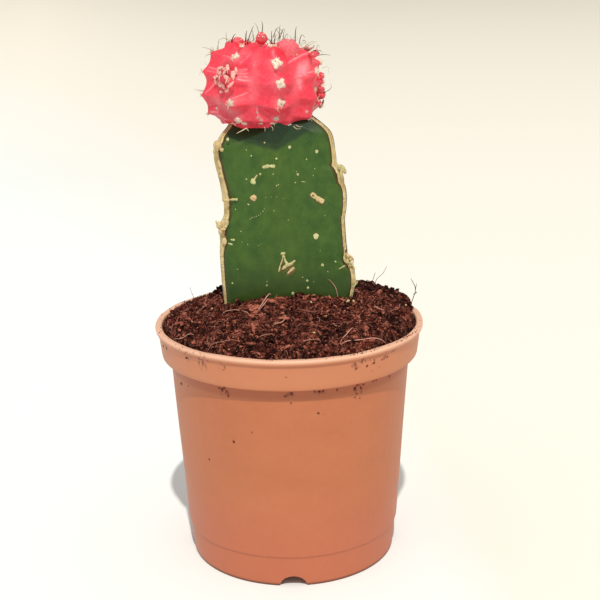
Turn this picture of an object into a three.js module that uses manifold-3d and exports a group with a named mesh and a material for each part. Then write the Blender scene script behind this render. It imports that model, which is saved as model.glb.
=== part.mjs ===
// A potted moon cactus: a red ribbed head grafted on a green three-winged stem, which stands in coir potting
// mix in a round plastic nursery pot. Millimetres, +Z up. The origin is the middle of the pot's foot, on the
// surface that the pot stands on. The front, where one flat face of the stem shows, looks along -Y.
import * as THREE from "three";
import { mergeVertices } from "three/addons/utils/BufferGeometryUtils.js";
import Module from "manifold-3d";

const wasm = await Module();
wasm.setup();

const clearance = 0.35; // free space between two pieces that touch on the real plant
const degree = Math.PI / 180;

// Pot: a thin moulded pot of the 9 cm size
const potHeight = 81;
const rimRadius = 45;
const footRadius = 34.8;
const potWall = 1.2;
const potFacets = 52;
const footBand = { height: 10.5, radius: 35.7, step: 0.5 };
const collar = { bottom: 70.4, radiusLow: 43.1, radiusHigh: 43.9, bodyRadius: 40.2 };
const rimBead = { height: 1.7, rounding: 0.4 };
const floorPlate = { underside: 3.9, thickness: 1.2 };
const footNotch = { width: 9.2, height: 3.6, count: 4 };
const drainHoles = { radius: 3.5, ringRadius: 24, middleRadius: 4.5 };

// Potting mix: level with the rim at its edge, heaped round the stem and at the back right
const soilEdge = 79.4;
const soilMound = { y: -3, rise: 12, radius: 41, width: 1.18 };
const soilHeaps = [
  { x: 30, y: 17, rise: 3, spread: 12 },
  { x: 24, y: -9, rise: 2.2, spread: 4.5 },
];
const soilRollOff = { from: 40.2, to: 42.3 };
const soilRings = 16;
const crumbRelief = { size: 2.6, height: 1.3 };
const crumbs = { count: 76, smallest: 0.9, largest: 2.1, flatness: 0.75, reach: 40 };
const strands = { count: 12, shortest: 9, longest: 16.5, thickness: 0.55, steps: 5 };
const strandPlaces = { near: 25, far: 35, reach: 39.5, wander: 1.6, bend: 0.35, lift: 0.35, sink: 0.8 };

// Strands that stand up from the mix: where they are rooted, where they end, and how they bend between
const upStrands = [
  { root: [40.2, 3.5, 82], tip: [41.4, 5, 93.5], bend: [1.4, 0, 0] },
  { root: [28.6, 21, 84], tip: [30.2, 22, 91], bend: [-0.4, 0, 0] },
  { root: [30.4, 19, 84], tip: [34, 20, 93], bend: [1.2, 0, -1] },
  { root: [-31, 14, 80], tip: [-34.5, 16, 88], bend: [-0.6, 0, 1] },
];

// Stem: three wings round a leaning axis. Each wing's outline is a list of [height, reach from the axis].
const stemAxis = [
  [56, 1.2],
  [90, 0.3],
  [118, -1.0],
  [140, -4.0],
  [151, -5.9],
];
const stemSetBack = 3;
const stemLevels = { foot: 60, soil: 84, top: 150.5, coarse: 6, fine: 2.6 };
const stemFaceDistance = 12.4; // from the axis to the middle of each flat face
const wingShape = { tipHalf: 1.9, fullReach: 24.5, hollow: 1.15, taper: 1, steps: 4 };
const wings = [
  {
    side: "left",
    turn: 210,
    outline: [
      [60, 15], [72, 23], [90, 23.9], [104, 24.1], [114.5, 23.7], [118.5, 21.7], [125, 21.2],
      [134, 21.7], [139.5, 21.4], [142.5, 19], [146.4, 14.2], [150.5, 10.5],
    ],
    nodes: [115.5, 141],
  },
  {
    side: "right",
    turn: 330,
    outline: [
      [60, 15], [72, 22.6], [90, 23.4], [96, 24.7], [100.5, 24.2], [105, 21.8], [115, 21.5],
      [120, 22.6], [127, 23.4], [132, 23.4], [134.5, 22], [142.2, 21.8], [145, 20.8], [148.9, 16],
      [150.5, 13.2],
    ],
    nodes: [102, 131.5],
  },
  {
    side: "back",
    turn: 90,
    outline: [
      [60, 14], [72, 22], [88, 23.4], [101, 24.2], [108, 22.6], [112, 21.9], [121, 23], [130, 23.2],
      [135, 21.8], [141, 21.9], [145, 19.5], [150.5, 12],
    ],
    nodes: [107, 136.5],
  },
];

// Horny edge that each wing wears from its foot to the bevel under the graft
const edgeStrip = { depth: 1.3, halfWidth: 1.8, from: 70, thinFrom: 140, to: 149, topScale: 0.55 };
const edgeSection = { points: 4, squareness: 0.6 };
const edgeNode = { swell: 0.3, spread: 2, spineLength: 2.6, spineThickness: 0.9, spineSplay: 0.5 };

// Head: a squarish ribbed globe, notched along its ribs, with an areole on each point between two notches
const headMiddle = new THREE.Vector3(-6.9, 1.5, 159.0);
const headLean = 3 * degree;
const headRadius = 19.8;
const headHalfHeight = 14.2;
const headSquareness = { above: 2.7, below: 3.2 }; // 2 is an ellipsoid
const ribs = 8;
const firstRib = -75.5 * degree; // the rib that faces the front, a little to the right
const furrow = { depth: 3.1, roundness: 1.15 };
const lowFurrow = { share: 0.25, from: -12 * degree, to: -55 * degree }; // furrows grow shallow to the base
const crestNotch = 1.4;
const faceHollow = 0.7;
const crownFade = 0.45; // the ribs fade where the cosine of the latitude is less than this
const areolePitch = 6.6;
const areoleShift = [0.29, 0.65, 0.1, 0.5, 0.85, 0.35, 0.55, 0.3]; // in pitches, for each rib
const crownDip = { depth: 1.6, radius: 5 };
const headFacets = 56;
const headRings = 25;
const areole = { radius: 1.35, stand: 0.55, length: 1.15, lowest: -42 * degree, fromCrown: 2.5 };
const spine = { each: 3, shortest: 4, longest: 8.2, thickness: 0.42, sink: 0.5 };
const spineSplay = { angle: 48 * degree, lift: 0.25 };
const crownSpines = 1.6; // how much the longest spines keep to the crown

// Ribs swell where a young head is forming under the skin
const swellings = [
  { azimuth: -50, latitude: 60, spread: 4.2, rise: 3.2 },
  { azimuth: 62, latitude: 40, spread: 5, rise: 2.4 },
];

// Young heads and knobs that grow on the head: where they sit, and how large they are
const offsets = [
  { azimuth: -130, latitude: 9, radius: 2.2 },
  { azimuth: -123, latitude: 3, radius: 1.7 },
  { azimuth: -135, latitude: -2, radius: 1.8 },
  { azimuth: -121, latitude: 13, radius: 1.6 },
  { azimuth: -80, latitude: 84, radius: 2.0 },
  { azimuth: -29, latitude: 40, radius: 2.2 },
  { azimuth: -29, latitude: 11, radius: 1.8 },
  { azimuth: -25, latitude: -3, radius: 1.6 },
  { azimuth: 66, latitude: 24, radius: 2.6 },
  { azimuth: 128, latitude: 6, radius: 2.2 },
];
const offsetSpines = { large: 4, small: 2, largeFrom: 2, scatter: 1.6 };
const offsetLift = 0.35; // how far a knob's middle stands out of the skin, in its own radii

// Repeatable numbers from 0 to 1
function draws(seed) {
  let state = seed;
  return () => {
    state = (state * 1664525 + 1013904223) >>> 0;
    return state / 2 ** 32;
  };
}

const mix = THREE.MathUtils.lerp;
const smooth = THREE.MathUtils.smoothstep;

// The value at one height of an outline given as [height, value] points, on a smooth curve through them
function outlineAt(outline, height) {
  const last = outline.length - 1;
  const next = outline.findIndex((point) => point[0] >= height);
  if (next <= 0) return outline[next < 0 ? last : 0][1];
  const [before, start, end, after] = [next - 2, next - 1, next, next + 1].map(
    (i) => outline[THREE.MathUtils.clamp(i, 0, last)],
  );
  const share = (height - start[0]) / (end[0] - start[0]);
  const rise = (a, b) => ((b[1] - a[1]) / Math.max(b[0] - a[0], 1e-6)) * (end[0] - start[0]);
  const [leaving, arriving] = [rise(before, end), rise(start, after)];
  const [s2, s3] = [share ** 2, share ** 3];
  return (
    start[1] * (2 * s3 - 3 * s2 + 1) +
    leaving * (s3 - 2 * s2 + share) +
    end[1] * (3 * s2 - 2 * s3) +
    arriving * (s3 - s2)
  );
}

// Numbers from 0 to 1 that change smoothly over the plane, one random value for each whole step
function relief(x, y) {
  const value = (i, j) => {
    const wave = Math.sin(i * 127.1 + j * 311.7) * 43758.5453;
    return wave - Math.floor(wave);
  };
  const [i, j] = [Math.floor(x), Math.floor(y)];
  const [u, v] = [smooth(x - i, 0, 1), smooth(y - j, 0, 1)];
  const near = mix(value(i, j), value(i + 1, j), u);
  const far = mix(value(i, j + 1), value(i + 1, j + 1), u);
  return mix(near, far, v);
}

// A closed geometry as a solid for cutting and joining
function solidOf(geometry) {
  const bare = new THREE.BufferGeometry().setAttribute("position", geometry.getAttribute("position"));
  bare.setIndex(geometry.index);
  const merged = mergeVertices(bare, 1e-4);
  const corners = merged.index.array;
  const kept = [];
  for (let i = 0; i < corners.length; i += 3) {
    const [a, b, c] = corners.subarray(i, i + 3);
    if (a !== b && b !== c && c !== a) kept.push(a, b, c);
  }
  const vertProperties = merged.getAttribute("position").array;
  return new wasm.Manifold(new wasm.Mesh({ numProp: 3, vertProperties, triVerts: new Uint32Array(kept) }));
}

// A solid as a geometry
function geometryOf(solid) {
  const { vertProperties, triVerts } = solid.getMesh();
  return new THREE.BufferGeometry()
    .setAttribute("position", new THREE.BufferAttribute(vertProperties, 3))
    .setIndex(new THREE.BufferAttribute(triVerts, 1));
}

// The largest body of a solid, without any scrap that a cut has left loose
function largestBody(solid) {
  return solid.decompose().sort((a, b) => b.volume() - a.volume())[0];
}

// A closed skin over a stack of rings that turn the same way, with a fan on the first and the last ring
function loft(rings) {
  const count = rings[0].length;
  const top = (rings.length - 1) * count;
  const middleOf = (ring) =>
    ring.reduce((sum, point) => sum.add(point), new THREE.Vector3()).divideScalar(count);
  const points = [...rings.flat(), middleOf(rings[0]), middleOf(rings.at(-1))];
  const faces = [];
  for (let i = 0; i < count; i++) {
    const next = (i + 1) % count;
    for (let low = 0; low < top; low += count) {
      faces.push(low + i, low + next, low + next + count);
      faces.push(low + i, low + next + count, low + i + count);
    }
    faces.push(points.length - 2, next, i);
    faces.push(points.length - 1, top + i, top + next);
  }
  return new THREE.BufferGeometry().setFromPoints(points).setIndex(faces);
}

function named(name, geometry, color, roughness) {
  geometry.computeVertexNormals();
  const material = new THREE.MeshStandardMaterial({ color, roughness, metalness: 0, flatShading: true });
  const mesh = new THREE.Mesh(geometry, material);
  mesh.name = name;
  return mesh;
}

// The pot's half section as [radius, height], from the axis under the floor plate round to the axis above it
function potSection() {
  const beadBottom = potHeight - rimBead.height;
  const plateTop = floorPlate.underside + floorPlate.thickness;
  const outside = [
    [footRadius, 0],
    [footBand.radius, footBand.height],
    [footBand.radius + footBand.step, footBand.height + footBand.step],
    [collar.bodyRadius, collar.bottom],
    [collar.radiusLow - rimBead.rounding, collar.bottom],
    [collar.radiusLow, collar.bottom + rimBead.rounding],
    [collar.radiusHigh, beadBottom],
    [rimRadius, beadBottom + rimBead.rounding / 2],
    [rimRadius, potHeight - rimBead.rounding],
    [rimRadius - rimBead.rounding, potHeight],
  ];
  const inside = [
    [collar.radiusHigh - potWall + rimBead.rounding, potHeight],
    [collar.radiusHigh - potWall, potHeight - rimBead.rounding],
    [collar.radiusLow - potWall, collar.bottom + potWall],
    [collar.bodyRadius - potWall, collar.bottom - potWall / 2],
    [footBand.radius + footBand.step - potWall, footBand.height + footBand.step],
    [footRadius - potWall, plateTop],
  ];
  const recess = [
    [0, floorPlate.underside],
    [footRadius - potWall, floorPlate.underside],
    [footRadius - potWall, 0],
  ];
  return { outside, inside, whole: [...recess, ...outside, ...inside, [0, plateTop]] };
}

// Revolves a half section round the vertical axis
function revolved(section) {
  const points = section.map(([radius, height]) => new THREE.Vector2(radius, height));
  return new THREE.LatheGeometry(points, potFacets).rotateX(Math.PI / 2);
}

// The arch that each notch cuts from the foot, standing across the +X direction
function notchCutter() {
  const arch = new THREE.Shape();
  arch.moveTo(-footNotch.width / 2, -1);
  arch.lineTo(footNotch.width / 2, -1);
  arch.lineTo(footNotch.width / 2, 0);
  arch.bezierCurveTo(footNotch.width * 0.36, footNotch.height * 1.32, -footNotch.width * 0.36,
    footNotch.height * 1.32, -footNotch.width / 2, 0);
  const reach = 2 * potWall;
  return new THREE.ExtrudeGeometry(arch, { depth: 2 * reach, bevelEnabled: false, curveSegments: 12 })
    .rotateX(Math.PI / 2)
    .rotateZ(Math.PI / 2)
    .translate(footRadius - reach, 0, 0);
}

function drainCutter(radius) {
  const plateMiddle = floorPlate.underside + floorPlate.thickness / 2;
  return new THREE.CylinderGeometry(radius, radius, 4 * floorPlate.thickness, 20)
    .rotateX(Math.PI / 2)
    .translate(0, 0, plateMiddle);
}

function pot() {
  const cutters = [solidOf(drainCutter(drainHoles.middleRadius))];
  for (let i = 0; i < footNotch.count; i++) {
    const turn = (i * 2 * Math.PI) / footNotch.count;
    cutters.push(solidOf(notchCutter().rotateZ(turn)));
    const hole = drainCutter(drainHoles.radius).translate(drainHoles.ringRadius, 0, 0);
    cutters.push(solidOf(hole.rotateZ(turn)));
  }
  const shell = solidOf(revolved(potSection().whole)).subtract(wasm.Manifold.union(cutters));
  return named("pot", geometryOf(shell), 0xc06a48, 0.5);
}

// A wing's half thickness at a distance from the axis: it thins along its hollow flanks, and then to its tip
function wingHalf(distance, tip) {
  const start = stemFaceDistance / 2;
  const widest = stemFaceDistance * Math.sin(60 * degree);
  const { tipHalf, fullReach, hollow, taper } = wingShape;
  const share = THREE.MathUtils.clamp((fullReach - distance) / (fullReach - start), 0, 1);
  const flank = tipHalf + (widest - tipHalf) * share ** hollow;
  return Math.min(flank, tipHalf + taper * (tip - distance));
}

// The frame of a wing at a height: the axis point, the direction outward and the one across
function wingFrame({ turn: degrees }, height) {
  const turn = degrees * degree;
  return {
    axis: new THREE.Vector3(outlineAt(stemAxis, height), stemSetBack, height),
    out: new THREE.Vector3(Math.cos(turn), Math.sin(turn), 0),
    across: new THREE.Vector3(-Math.sin(turn), Math.cos(turn), 0),
  };
}

// A point of a wing's frame, so far out and so far across
function wingPoint({ axis, out, across }, distance, aside) {
  return axis.clone().addScaledVector(out, distance).addScaledVector(across, aside);
}

// The stem's outline at a height, wing by wing, grown outwards by a margin
function stemRing(height, margin, stripDepth) {
  const { steps } = wingShape;
  const flankNormal = { out: Math.sin(30 * degree), across: Math.cos(30 * degree) };
  return wings.flatMap((wing) => {
    const frame = wingFrame(wing, height);
    const tip = outlineAt(wing.outline, height) - stripDepth;
    const flank = Array.from({ length: steps + 1 }, (_, i) => {
      const distance = mix(stemFaceDistance / 2, tip, i / steps);
      const half = wingHalf(distance, tip);
      if (i === steps) return [distance + margin, half + margin];
      return [distance + margin * flankNormal.out, half + margin * flankNormal.across];
    });
    const farFlank = flank.slice(1).reverse();
    return [
      ...flank.map(([distance, half]) => wingPoint(frame, distance, -half)),
      ...farFlank.map(([distance, half]) => wingPoint(frame, distance, half)),
    ];
  });
}

// Heights for the rings of the stem: closer together above the potting mix
const stemHeights = (() => {
  const steps = (from, to, step) => {
    const count = Math.ceil((to - from) / step);
    return Array.from({ length: count }, (_, i) => mix(from, to, i / count));
  };
  const { foot, soil: ground, top, coarse, fine } = stemLevels;
  return [...steps(foot, ground, coarse), ...steps(ground, top, fine), top];
})();

function stemSolid(margin, stripDepth) {
  const rings = stemHeights.map((height) => stemRing(height, margin, stripDepth));
  for (const point of rings[0]) point.z -= margin;
  for (const point of rings.at(-1)) point.z += margin;
  return solidOf(loft(rings));
}

// The horny edge of one wing: a half-round strip against the wing's flat tip, which swells at each node
function edgeRing(wing, height) {
  const frame = wingFrame(wing, height);
  const foot = outlineAt(wing.outline, height) - edgeStrip.depth + clearance;
  const thin = mix(1, edgeStrip.topScale, smooth(height, edgeStrip.thinFrom, edgeStrip.to));
  const swell = wing.nodes.reduce(
    (sum, node) => sum + edgeNode.swell * Math.exp(-(((height - node) / edgeNode.spread) ** 2)),
    thin,
  );
  const half = edgeStrip.halfWidth * swell;
  const bulge = (edgeStrip.depth - clearance) * swell;
  const arc = Array.from({ length: edgeSection.points }, (_, i) => {
    const turn = ((i + 1) / (edgeSection.points + 1) - 0.5) * Math.PI;
    return wingPoint(frame, foot + bulge * Math.cos(turn) ** edgeSection.squareness, half * Math.sin(turn));
  });
  return [wingPoint(frame, foot, -half), ...arc, wingPoint(frame, foot, half)];
}

// The two short spines of a node, which spread up and down
function nodeSpines(wing, node) {
  const frame = wingFrame(wing, node);
  return [-1, 1].map((side) => {
    const root = wingPoint(frame, outlineAt(wing.outline, node) - edgeStrip.depth / 2, 0);
    const splay = new THREE.Vector3(0, 0, side * edgeNode.spineSplay);
    const direction = frame.out.clone().addScaledVector(frame.across, side * edgeNode.spineSplay).add(splay);
    return solidOf(needle(root, direction, edgeNode.spineLength, edgeNode.spineThickness));
  });
}

function edgeSolid(wing) {
  const heights = stemHeights.filter((height) => height >= edgeStrip.from && height <= edgeStrip.to);
  const strip = solidOf(loft(heights.map((height) => edgeRing(wing, height))));
  return largestBody(wasm.Manifold.union([strip, ...wing.nodes.flatMap((node) => nodeSpines(wing, node))]));
}

// A three-sided needle from its root along a direction
function needle(root, direction, length, thickness) {
  const turn = new THREE.Quaternion().setFromUnitVectors(
    new THREE.Vector3(0, 1, 0),
    direction.clone().normalize(),
  );
  return new THREE.ConeGeometry(thickness / 2, length, 3)
    .translate(0, length / 2, 0)
    .applyQuaternion(turn)
    .translate(root.x, root.y, root.z);
}

// Height of the potting mix, without its crumbs
function soilHeight(x, y) {
  const fromMiddle = Math.hypot(x / soilMound.width, y - soilMound.y) / soilMound.radius;
  let rise = soilMound.rise * Math.max(0, 1 - fromMiddle ** 2);
  for (const heap of soilHeaps) {
    const distance = Math.hypot(x - heap.x, y - heap.y) / heap.spread;
    rise += heap.rise * Math.exp(-(distance ** 2) / 2);
  }
  return soilEdge + rise * (1 - smooth(Math.hypot(x, y), soilRollOff.from, soilRollOff.to));
}

// Height of the potting mix with its crumbs
function crumbledHeight(x, y) {
  const coarse = relief(x / crumbRelief.size + 40, y / crumbRelief.size + 40);
  const fine = relief((x / crumbRelief.size) * 2 + 90, (y / crumbRelief.size) * 2 + 90);
  const edge = 1 - 0.6 * smooth(Math.hypot(x, y), soilRollOff.from, soilRollOff.to);
  return soilHeight(x, y) + crumbRelief.height * edge * (coarse + 0.5 * fine - 0.75);
}

// The body of the potting mix: it fills the pot to the wall and carries the crumbled mound
function soilBody() {
  const walls = potSection().inside.slice(2).reverse();
  const sides = walls.map(([radius, height], i) => [radius - clearance, height + (i === 0 ? clearance : 0)]);
  const edgeRadius = collar.radiusHigh - potWall - clearance;
  const circle = (radius, heightAt) =>
    Array.from({ length: potFacets }, (_, i) => {
      const turn = (i * 2 * Math.PI) / potFacets;
      const [x, y] = [radius * Math.cos(turn), radius * Math.sin(turn)];
      return new THREE.Vector3(x, y, heightAt(x, y));
    });
  const rings = sides.map(([radius, height]) => circle(radius, () => height));
  for (let i = 0; i < soilRings; i++) {
    rings.push(circle(edgeRadius * (1 - i / soilRings), crumbledHeight));
  }
  return solidOf(loft(rings));
}

// Lumps of coir, each an uneven eight-sided crumb sunk into the surface
function soilCrumbs() {
  const draw = draws(11);
  return Array.from({ length: crumbs.count }, () => {
    const turn = draw() * 2 * Math.PI;
    const radius = crumbs.reach * Math.sqrt(draw());
    const [x, y] = [radius * Math.cos(turn), radius * Math.sin(turn)];
    const size = mix(crumbs.smallest, crumbs.largest, draw() ** 2);
    const lump = new THREE.OctahedronGeometry(size).scale(1.2, mix(0.8, 1.2, draw()), crumbs.flatness);
    lump.rotateX(draw() * 1.2).rotateZ(draw() * 2 * Math.PI);
    return solidOf(lump.translate(x, y, crumbledHeight(x, y)));
  });
}

// A three-sided strand along a list of points
function strand(points) {
  const corners = [0, 1, 2].map((i) => {
    const turn = (i * 2 * Math.PI) / 3;
    return new THREE.Vector2(Math.cos(turn), Math.sin(turn)).multiplyScalar(strands.thickness / 2);
  });
  const extrudePath = new THREE.CatmullRomCurve3(points);
  const settings = { steps: strands.steps + 1, extrudePath, bevelEnabled: false };
  return solidOf(new THREE.ExtrudeGeometry(new THREE.Shape(corners), settings));
}

// Strands of coir that lie on the mix round the stem, with both ends worked into it
function lyingStrands() {
  const draw = draws(5);
  const { near, far, reach, wander, bend, lift, sink } = strandPlaces;
  return Array.from({ length: strands.count }, (_, number) => {
    const round = ((number + draw()) / strands.count) * 2 * Math.PI;
    const radius = mix(near, far, draw());
    const heading = round + Math.PI / 2 + (draw() - 0.5) * wander;
    const turning = (draw() - 0.5) * bend;
    const length = mix(strands.shortest, strands.longest, draw());
    const points = Array.from({ length: strands.steps + 1 }, (_unused, i) => {
      const along = (i / strands.steps - 0.5) * length;
      const turn = heading + turning * (i - strands.steps / 2);
      const x = radius * Math.cos(round) + along * Math.cos(turn);
      const y = radius * Math.sin(round) + along * Math.sin(turn);
      const inside = Math.min(1, reach / Math.hypot(x, y));
      const height = i === 0 || i === strands.steps ? -sink : lift;
      return new THREE.Vector3(x * inside, y * inside, crumbledHeight(x * inside, y * inside) + height);
    });
    return strand(points);
  });
}

function standingStrands() {
  return upStrands.map(({ root, tip, bend }) => {
    const [from, to] = [new THREE.Vector3(...root), new THREE.Vector3(...tip)];
    const middle = from.clone().lerp(to, 0.5).add(new THREE.Vector3(...bend));
    return strand([from, middle, to]);
  });
}

function soil() {
  const heap = wasm.Manifold.union([soilBody(), ...soilCrumbs(), ...lyingStrands(), ...standingStrands()]);
  const planted = heap.subtract(stemSolid(clearance, 0));
  return named("soil", geometryOf(largestBody(planted)), 0x4a2a20, 0.95);
}

// Arc length along the head's outline from its equator to each latitude, in steps of one degree
const meridian = (() => {
  const lengths = [0];
  const point = (i) => headOutline(i * degree);
  for (let i = 1; i <= 90; i++) lengths.push(lengths[i - 1] + point(i).distanceTo(point(i - 1)));
  return lengths;
})();

function squareness(latitude) {
  return latitude > 0 ? headSquareness.above : headSquareness.below;
}

// The head's smooth outline at a latitude: radius and height above the middle
function headOutline(latitude) {
  const power = 2 / squareness(latitude);
  const sine = Math.sin(latitude);
  return new THREE.Vector2(
    headRadius * Math.max(Math.cos(latitude), 0) ** power,
    headHalfHeight * Math.sign(sine) * Math.abs(sine) ** power,
  );
}

function arcAt(latitude) {
  const place = Math.min(Math.abs(latitude) / degree, 89.999);
  const low = Math.floor(place);
  return Math.sign(latitude) * mix(meridian[low], meridian[low + 1], place - low);
}

function latitudeAt(arc) {
  const length = Math.min(Math.abs(arc), meridian[90]);
  const high = Math.max(1, meridian.findIndex((value) => value >= length));
  const share = (length - meridian[high - 1]) / (meridian[high] - meridian[high - 1]);
  return Math.sign(arc) * (high - 1 + share) * degree;
}

// The head's smooth outline as a point in space
function headSmooth(azimuth, latitude) {
  const { x: out, y: up } = headOutline(latitude);
  return new THREE.Vector3(out * Math.cos(azimuth), out * Math.sin(azimuth), up);
}

// A point of the head's surface, in the head's own frame. Each rib falls to the furrow on either side of it,
// its crest is notched between two areoles, and a low fold runs from each areole down into the furrows.
function headPoint(azimuth, latitude) {
  const outline = headOutline(latitude);
  const place = headSmooth(azimuth, latitude);
  const turns = ((azimuth - firstRib) / (2 * Math.PI)) * ribs;
  const rib = Math.round(turns);
  const fromCrest = Math.abs(turns - rib) * 2;
  const shift = areoleShift[((rib % ribs) + ribs) % ribs];
  const notch = Math.abs(Math.sin(Math.PI * (arcAt(latitude) / areolePitch - shift)));
  const fade = Math.min(1, Math.cos(latitude) / crownFade);
  const shallow = mix(lowFurrow.share, 1, smooth(latitude, lowFurrow.to, lowFurrow.from));
  let inward =
    fade *
    (furrow.depth * shallow * fromCrest ** furrow.roundness +
      crestNotch * notch * (1 - fromCrest) +
      faceHollow * notch * 4 * fromCrest * (1 - fromCrest));
  for (const swelling of swellings) {
    const middle = headSmooth(swelling.azimuth * degree, swelling.latitude * degree);
    inward -= swelling.rise * Math.exp(-((middle.distanceTo(place) / swelling.spread) ** 2));
  }
  const dip = latitude > 0 ? crownDip.depth * Math.exp(-((outline.x / crownDip.radius) ** 2)) : 0;
  place.multiplyScalar(1 - inward / outline.length());
  place.z -= dip;
  return place;
}

// The direction straight out of the head at a point of its surface
function headNormal(azimuth, latitude) {
  const outline = headOutline(latitude);
  const power = squareness(latitude) - 1;
  const out = (outline.x / headRadius) ** power / headRadius;
  const up = (Math.sign(outline.y) * (Math.abs(outline.y) / headHalfHeight) ** power) / headHalfHeight;
  return new THREE.Vector3(out * Math.cos(azimuth), out * Math.sin(azimuth), up).normalize();
}

function headBody() {
  const length = meridian[90];
  const rings = Array.from({ length: headRings }, (_, level) => {
    const latitude = latitudeAt(mix(-length, length, (level + 0.5) / headRings));
    return Array.from({ length: headFacets }, (_unused, i) =>
      headPoint(firstRib + (i * 2 * Math.PI) / headFacets, latitude),
    );
  });
  return solidOf(loft(rings));
}

// Every areole of the head: one on each point of each crest, down to where the graft hides them
function areolePlaces() {
  const places = [];
  const farthest = meridian[90] - areole.fromCrown;
  for (let rib = 0; rib < ribs; rib++) {
    const azimuth = firstRib + (rib * 2 * Math.PI) / ribs;
    const lowest = Math.ceil(-farthest / areolePitch - areoleShift[rib]);
    for (let step = lowest; (step + areoleShift[rib]) * areolePitch < farthest; step++) {
      const latitude = latitudeAt((step + areoleShift[rib]) * areolePitch);
      if (latitude > areole.lowest) places.push({ azimuth, latitude });
    }
  }
  return places;
}

// A woolly areole with its spines, which splay from its middle and lean towards the crown
function areoleSolids({ azimuth, latitude }, draw) {
  const place = headPoint(azimuth, latitude);
  const normal = headNormal(azimuth, latitude);
  const side = new THREE.Vector3(-Math.sin(azimuth), Math.cos(azimuth), 0);
  const up = side.clone().cross(normal).negate();
  const turn = new THREE.Quaternion().setFromUnitVectors(new THREE.Vector3(0, 1, 0), normal);
  const tuft = new THREE.SphereGeometry(areole.radius, 6, 3)
    .scale(1, areole.stand, areole.length)
    .applyQuaternion(turn)
    .translate(place.x, place.y, place.z);
  const root = place.clone().addScaledVector(normal, -spine.sink);
  const reach = mix(spine.shortest, spine.longest, (0.5 + 0.5 * Math.sin(latitude)) ** crownSpines);
  const needles = Array.from({ length: spine.each }, (_, i) => {
    const round = ((i + mix(0.25, 0.65, draw())) / spine.each) * 2 * Math.PI;
    const lean = spineSplay.angle * mix(0.6, 1.1, draw());
    const direction = normal
      .clone()
      .multiplyScalar(Math.cos(lean))
      .addScaledVector(side, Math.sin(lean) * Math.cos(round))
      .addScaledVector(up, Math.sin(lean) * Math.sin(round) + spineSplay.lift);
    return solidOf(needle(root, direction, reach * mix(0.75, 1, draw()), spine.thickness));
  });
  return [solidOf(tuft), ...needles];
}

// A young head or knob, which sits half sunk in the skin and has a few short spines
function offsetSolids({ azimuth, latitude, radius }, draw) {
  const [turn, tilt] = [azimuth * degree, latitude * degree];
  const normal = headNormal(turn, tilt);
  const place = headPoint(turn, tilt).addScaledVector(normal, radius * offsetLift);
  const ball = new THREE.SphereGeometry(radius, 7, 5)
    .rotateX(Math.PI / 2)
    .translate(place.x, place.y, place.z);
  const count = radius > offsetSpines.largeFrom ? offsetSpines.large : offsetSpines.small;
  const needles = Array.from({ length: count }, () => {
    const scatter = new THREE.Vector3(draw() - 0.5, draw() - 0.5, draw() - 0.3);
    const direction = normal.clone().addScaledVector(scatter, offsetSpines.scatter);
    return solidOf(needle(place, direction, radius + spine.shortest * mix(0.5, 1, draw()), spine.thickness));
  });
  return [solidOf(ball), ...needles];
}

function head() {
  const draw = draws(23);
  const grown = wasm.Manifold.union([
    headBody(),
    ...areolePlaces().flatMap((place) => areoleSolids(place, draw)),
    ...offsets.flatMap((offset) => offsetSolids(offset, draw)),
  ]);
  const seat = new THREE.Group();
  seat.position.copy(headMiddle);
  seat.rotation.y = headLean;
  seat.updateMatrix();
  const stock = stemSolid(clearance, 0).transform(seat.matrix.clone().invert().elements);
  seat.add(named("scion", geometryOf(largestBody(grown.subtract(stock))), 0xe23c50, 0.55));
  return seat;
}

function stem() {
  const stemAndEdges = new THREE.Group();
  stemAndEdges.add(named("rootstock", geometryOf(stemSolid(0, edgeStrip.depth)), 0x34662e, 0.5));
  for (const wing of wings) {
    stemAndEdges.add(named("horny_edge_" + wing.side, geometryOf(edgeSolid(wing)), 0xc2a36a, 0.8));
  }
  return stemAndEdges;
}

const pottedCactus = new THREE.Group();
pottedCactus.add(pot(), soil(), stem(), head());

export default pottedCactus;
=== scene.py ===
"""Looks of the potted moon cactus: a red ribbed head grafted on a green three-winged stem, which stands in coir
mix in a terracotta-coloured nursery pot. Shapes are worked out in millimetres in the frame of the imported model:
+Z up, the front along -Y. Each surface is a function of two parameters on a grid, or a profile carried along a
path, worked out as whole arrays."""

import bmesh
import bpy
import numpy as np
from mathutils import Matrix, Vector


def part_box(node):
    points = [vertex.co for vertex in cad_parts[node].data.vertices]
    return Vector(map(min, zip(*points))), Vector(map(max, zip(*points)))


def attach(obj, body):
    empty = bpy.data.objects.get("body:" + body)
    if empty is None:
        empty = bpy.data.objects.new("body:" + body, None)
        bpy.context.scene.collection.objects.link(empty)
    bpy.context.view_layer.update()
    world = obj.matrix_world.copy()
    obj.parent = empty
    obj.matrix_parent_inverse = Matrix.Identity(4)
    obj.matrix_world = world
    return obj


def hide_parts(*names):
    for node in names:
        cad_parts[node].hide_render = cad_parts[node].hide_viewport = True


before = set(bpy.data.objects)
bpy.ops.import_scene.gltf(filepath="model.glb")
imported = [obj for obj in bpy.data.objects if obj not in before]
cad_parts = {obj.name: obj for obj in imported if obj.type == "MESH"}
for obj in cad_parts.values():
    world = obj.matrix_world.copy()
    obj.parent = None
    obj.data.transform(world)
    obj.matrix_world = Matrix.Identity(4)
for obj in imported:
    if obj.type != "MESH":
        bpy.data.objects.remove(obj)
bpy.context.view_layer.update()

MM = 0.001
TURN = 2 * np.pi
UP = np.array([0, 0, 1.0])
BODY = "root"

# ---- Camera and light ----

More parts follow.
